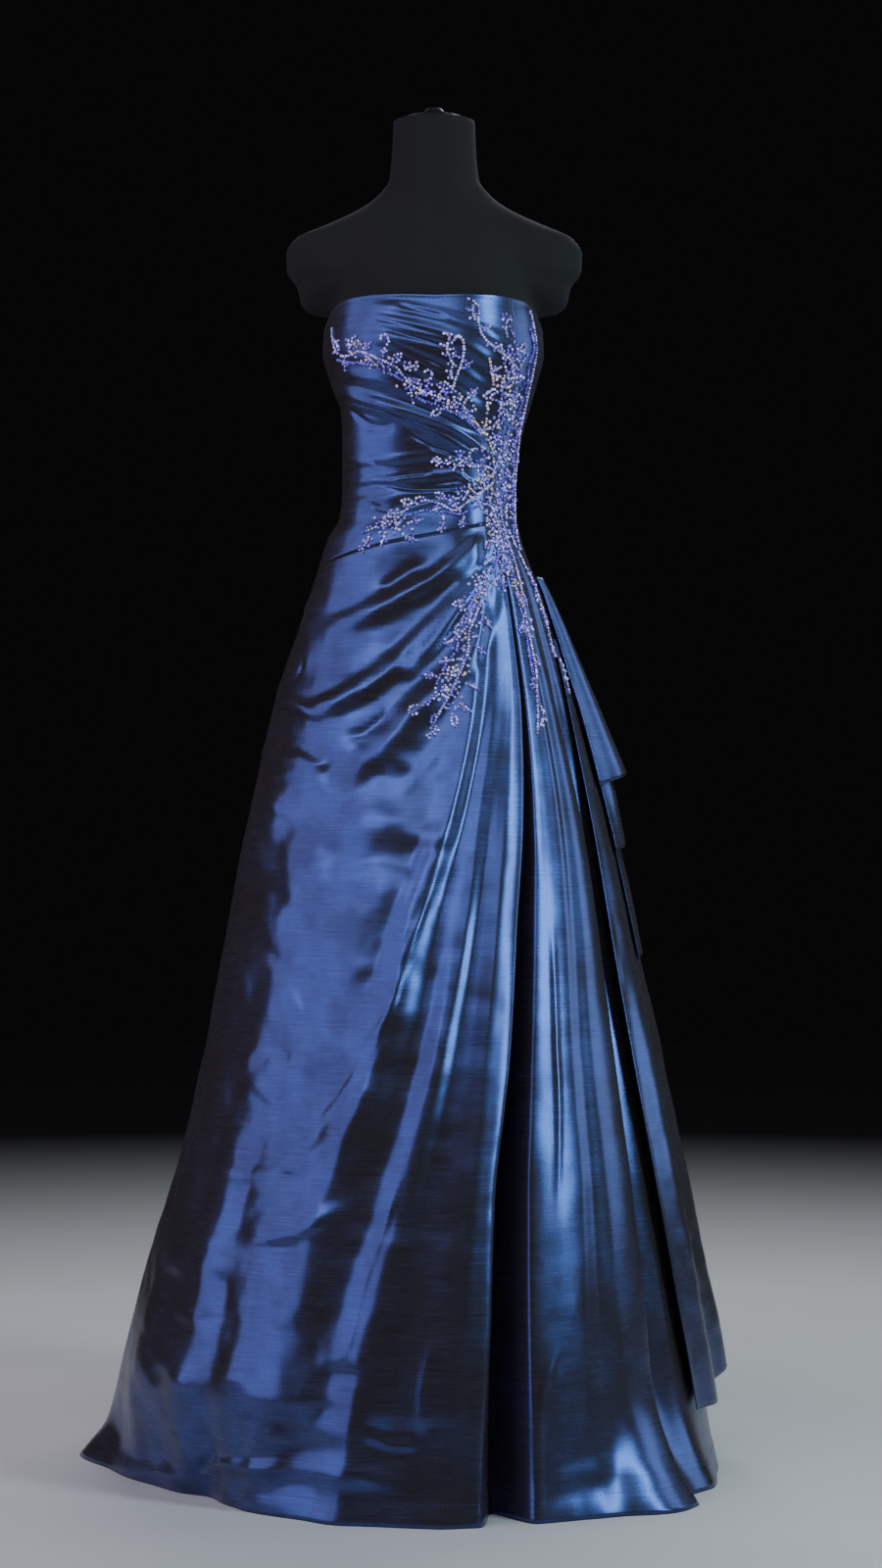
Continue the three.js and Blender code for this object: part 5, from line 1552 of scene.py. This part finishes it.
def floor_finish():
    f = Finish("pale_floor")
    spot = f.coordinates()
    cloud = f.noise(spot, 3.0, 4.0)
    away = f.node("ShaderNodeVectorMath", {"operation": "LENGTH"}, {0: spot}, output="Value")
    pale = f.mix(cloud, (0.6, 0.6, 0.595, 1), (0.68, 0.68, 0.675, 1))
    # Painted shade: the floor's colour darkens to black with distance from the gown.
    painted_falloff = f.range(away, PALE_UNTIL, DARK_FROM)
    shader = f.principled({
        "Base Color": f.mix(painted_falloff, pale, BLACK),
        "Roughness": 0.66 + cloud * 0.1,
        "Specular IOR Level": 0.2,
        # Painted glow: far off the floor emits the room's colour, though it is no lamp.
        "Emission Color": f.mix(painted_falloff, BLACK, ROOM),
        "Emission Strength": 1.0,
    })
    return f.surface(shader)


def make_floor():
    steps = np.linspace(-STAGE_HALF, STAGE_HALF, 5)
    points = [(x, y, 0) for y in steps for x in steps]
    floor = new_piece("floor", np.array(points), grid_faces(5, 5, flip=True).tolist(), floor_finish())
    print("floor points:", len(points))


make_floor()

# %% Lights
SOFTBOXES = [  # name, azimuth, metres away, up, width, height, watts, colour, height aimed at
    ("left_softbox", -66, 2.7, 1.75, 2.8, 3.1, 43, (0.9, 0.8, 1.0), 0.8),
    ("right_strip", 56, 2.8, 2.2, 0.5, 2.1, 44, (0.72, 0.97, 1.0), 0.8),
    ("right_softbox", 97, 2.8, 1.7, 1.3, 2.1, 18, (0.8, 0.92, 1.0), 0.8),
    ("front_softbox", -12, 2.3, 2.85, 3.2, 0.8, 25, (0.86, 0.88, 1.0), 1.38),
    ("overhead_softbox", 16, 1.3, 3.3, 1.2, 0.8, 3, (0.8, 0.95, 1.0), 1.1),
    ("back_softbox", 166, 2.5, 3.4, 2.8, 1.6, 60, (0.92, 0.94, 1.0), 0.6),
]


def softbox(name, azimuth, away, up, width, height, power, colour, aim_up):
    """A soft light at an azimuth from the front, positive to the viewer's right."""
    light = bpy.data.lights.new(name, "AREA")
    light.shape = "RECTANGLE"
    light.size, light.size_y = width, height
    light.energy, light.color = power, colour
    lamp = bpy.data.objects.new(name, light)
    a = math.radians(azimuth)
    lamp.location = (away * math.sin(a), -away * math.cos(a), up)
    direction = lamp.location - Vector((0, 0, aim_up))
    lamp.rotation_euler = direction.to_track_quat("Z", "Y").to_euler()
    lamp.visible_camera = False
    scene.collection.objects.link(lamp)


for row in SOFTBOXES:
    softbox(*row)
world = bpy.data.worlds.new("studio_dark")
world.use_nodes = True
world.node_tree.nodes["Background"].inputs["Color"].default_value = ROOM
scene.world = world
print(len(SOFTBOXES), "soft lights")

# %% [markdown]
# ## What each piece stands for
# Every piece rides on a body of the frame by name. The cloth replaces the plain CAD sheets,
# which are hidden. The table lists how large each sheet was cut, how it hangs and what it
# lies on: the skirt for the cascade, and the form for the rest; these values are not passed
# on. Cloth has no joints here, so all of it rides with the form. Only the zip's pull moves,
# and it is a CAD node.

# %% Sheets
BODY = "gown_on_form"
SHEETS = [  # piece, CAD node, flat width and length in metres, flat area, how it is held
    (skirt_left_front, "skirt_front_drape", (1.02, 1.16), 0.69, "gathered"),
    (skirt_right_front, "skirt_front_right", (0.72, 1.17), 0.43, "gathered"),
    (skirt_back_right, "skirt_back_right", (0.74, 1.16), 0.53, "gathered"),
    (skirt_back_left, "skirt_back_left", (0.78, 1.13), 0.56, "gathered"),
    (bust, "bodice_bust", (0.31, 0.22), 0.046, "draped"),
    (midriff, "bodice_midriff", (0.30, 0.22), 0.038, "draped"),
    (side_right, "bodice_side_right", (0.11, 0.27), 0.022, "stretched"),
    (back_right, "bodice_back_right", (0.19, 0.26), 0.038, "stretched"),
    (back_left, "bodice_back_left", (0.20, 0.29), 0.047, "stretched"),
    (tiers[0], "cascade_tier_1", (0.13, 0.26), 0.019, "hung"),
    (tiers[1], "cascade_tier_2", (0.10, 0.20), 0.012, "hung"),
    (tiers[2], "cascade_tier_3", (0.08, 0.22), 0.012, "hung"),
    (tiers[3], "cascade_tier_4", (0.30, 0.92), 0.155, "hung"),
]
for piece, node_name, flat, area, held in SHEETS:
    carrier = "gown_skirt_front_right" if held == "hung" else "display_dress_form"
    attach(piece, BODY)
    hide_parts(node_name)

for piece in beadwork + [stitches, teeth]:
    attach(piece, BODY)

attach(form, BODY)
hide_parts("dress_form")
print(len(SHEETS), "sheets declared")
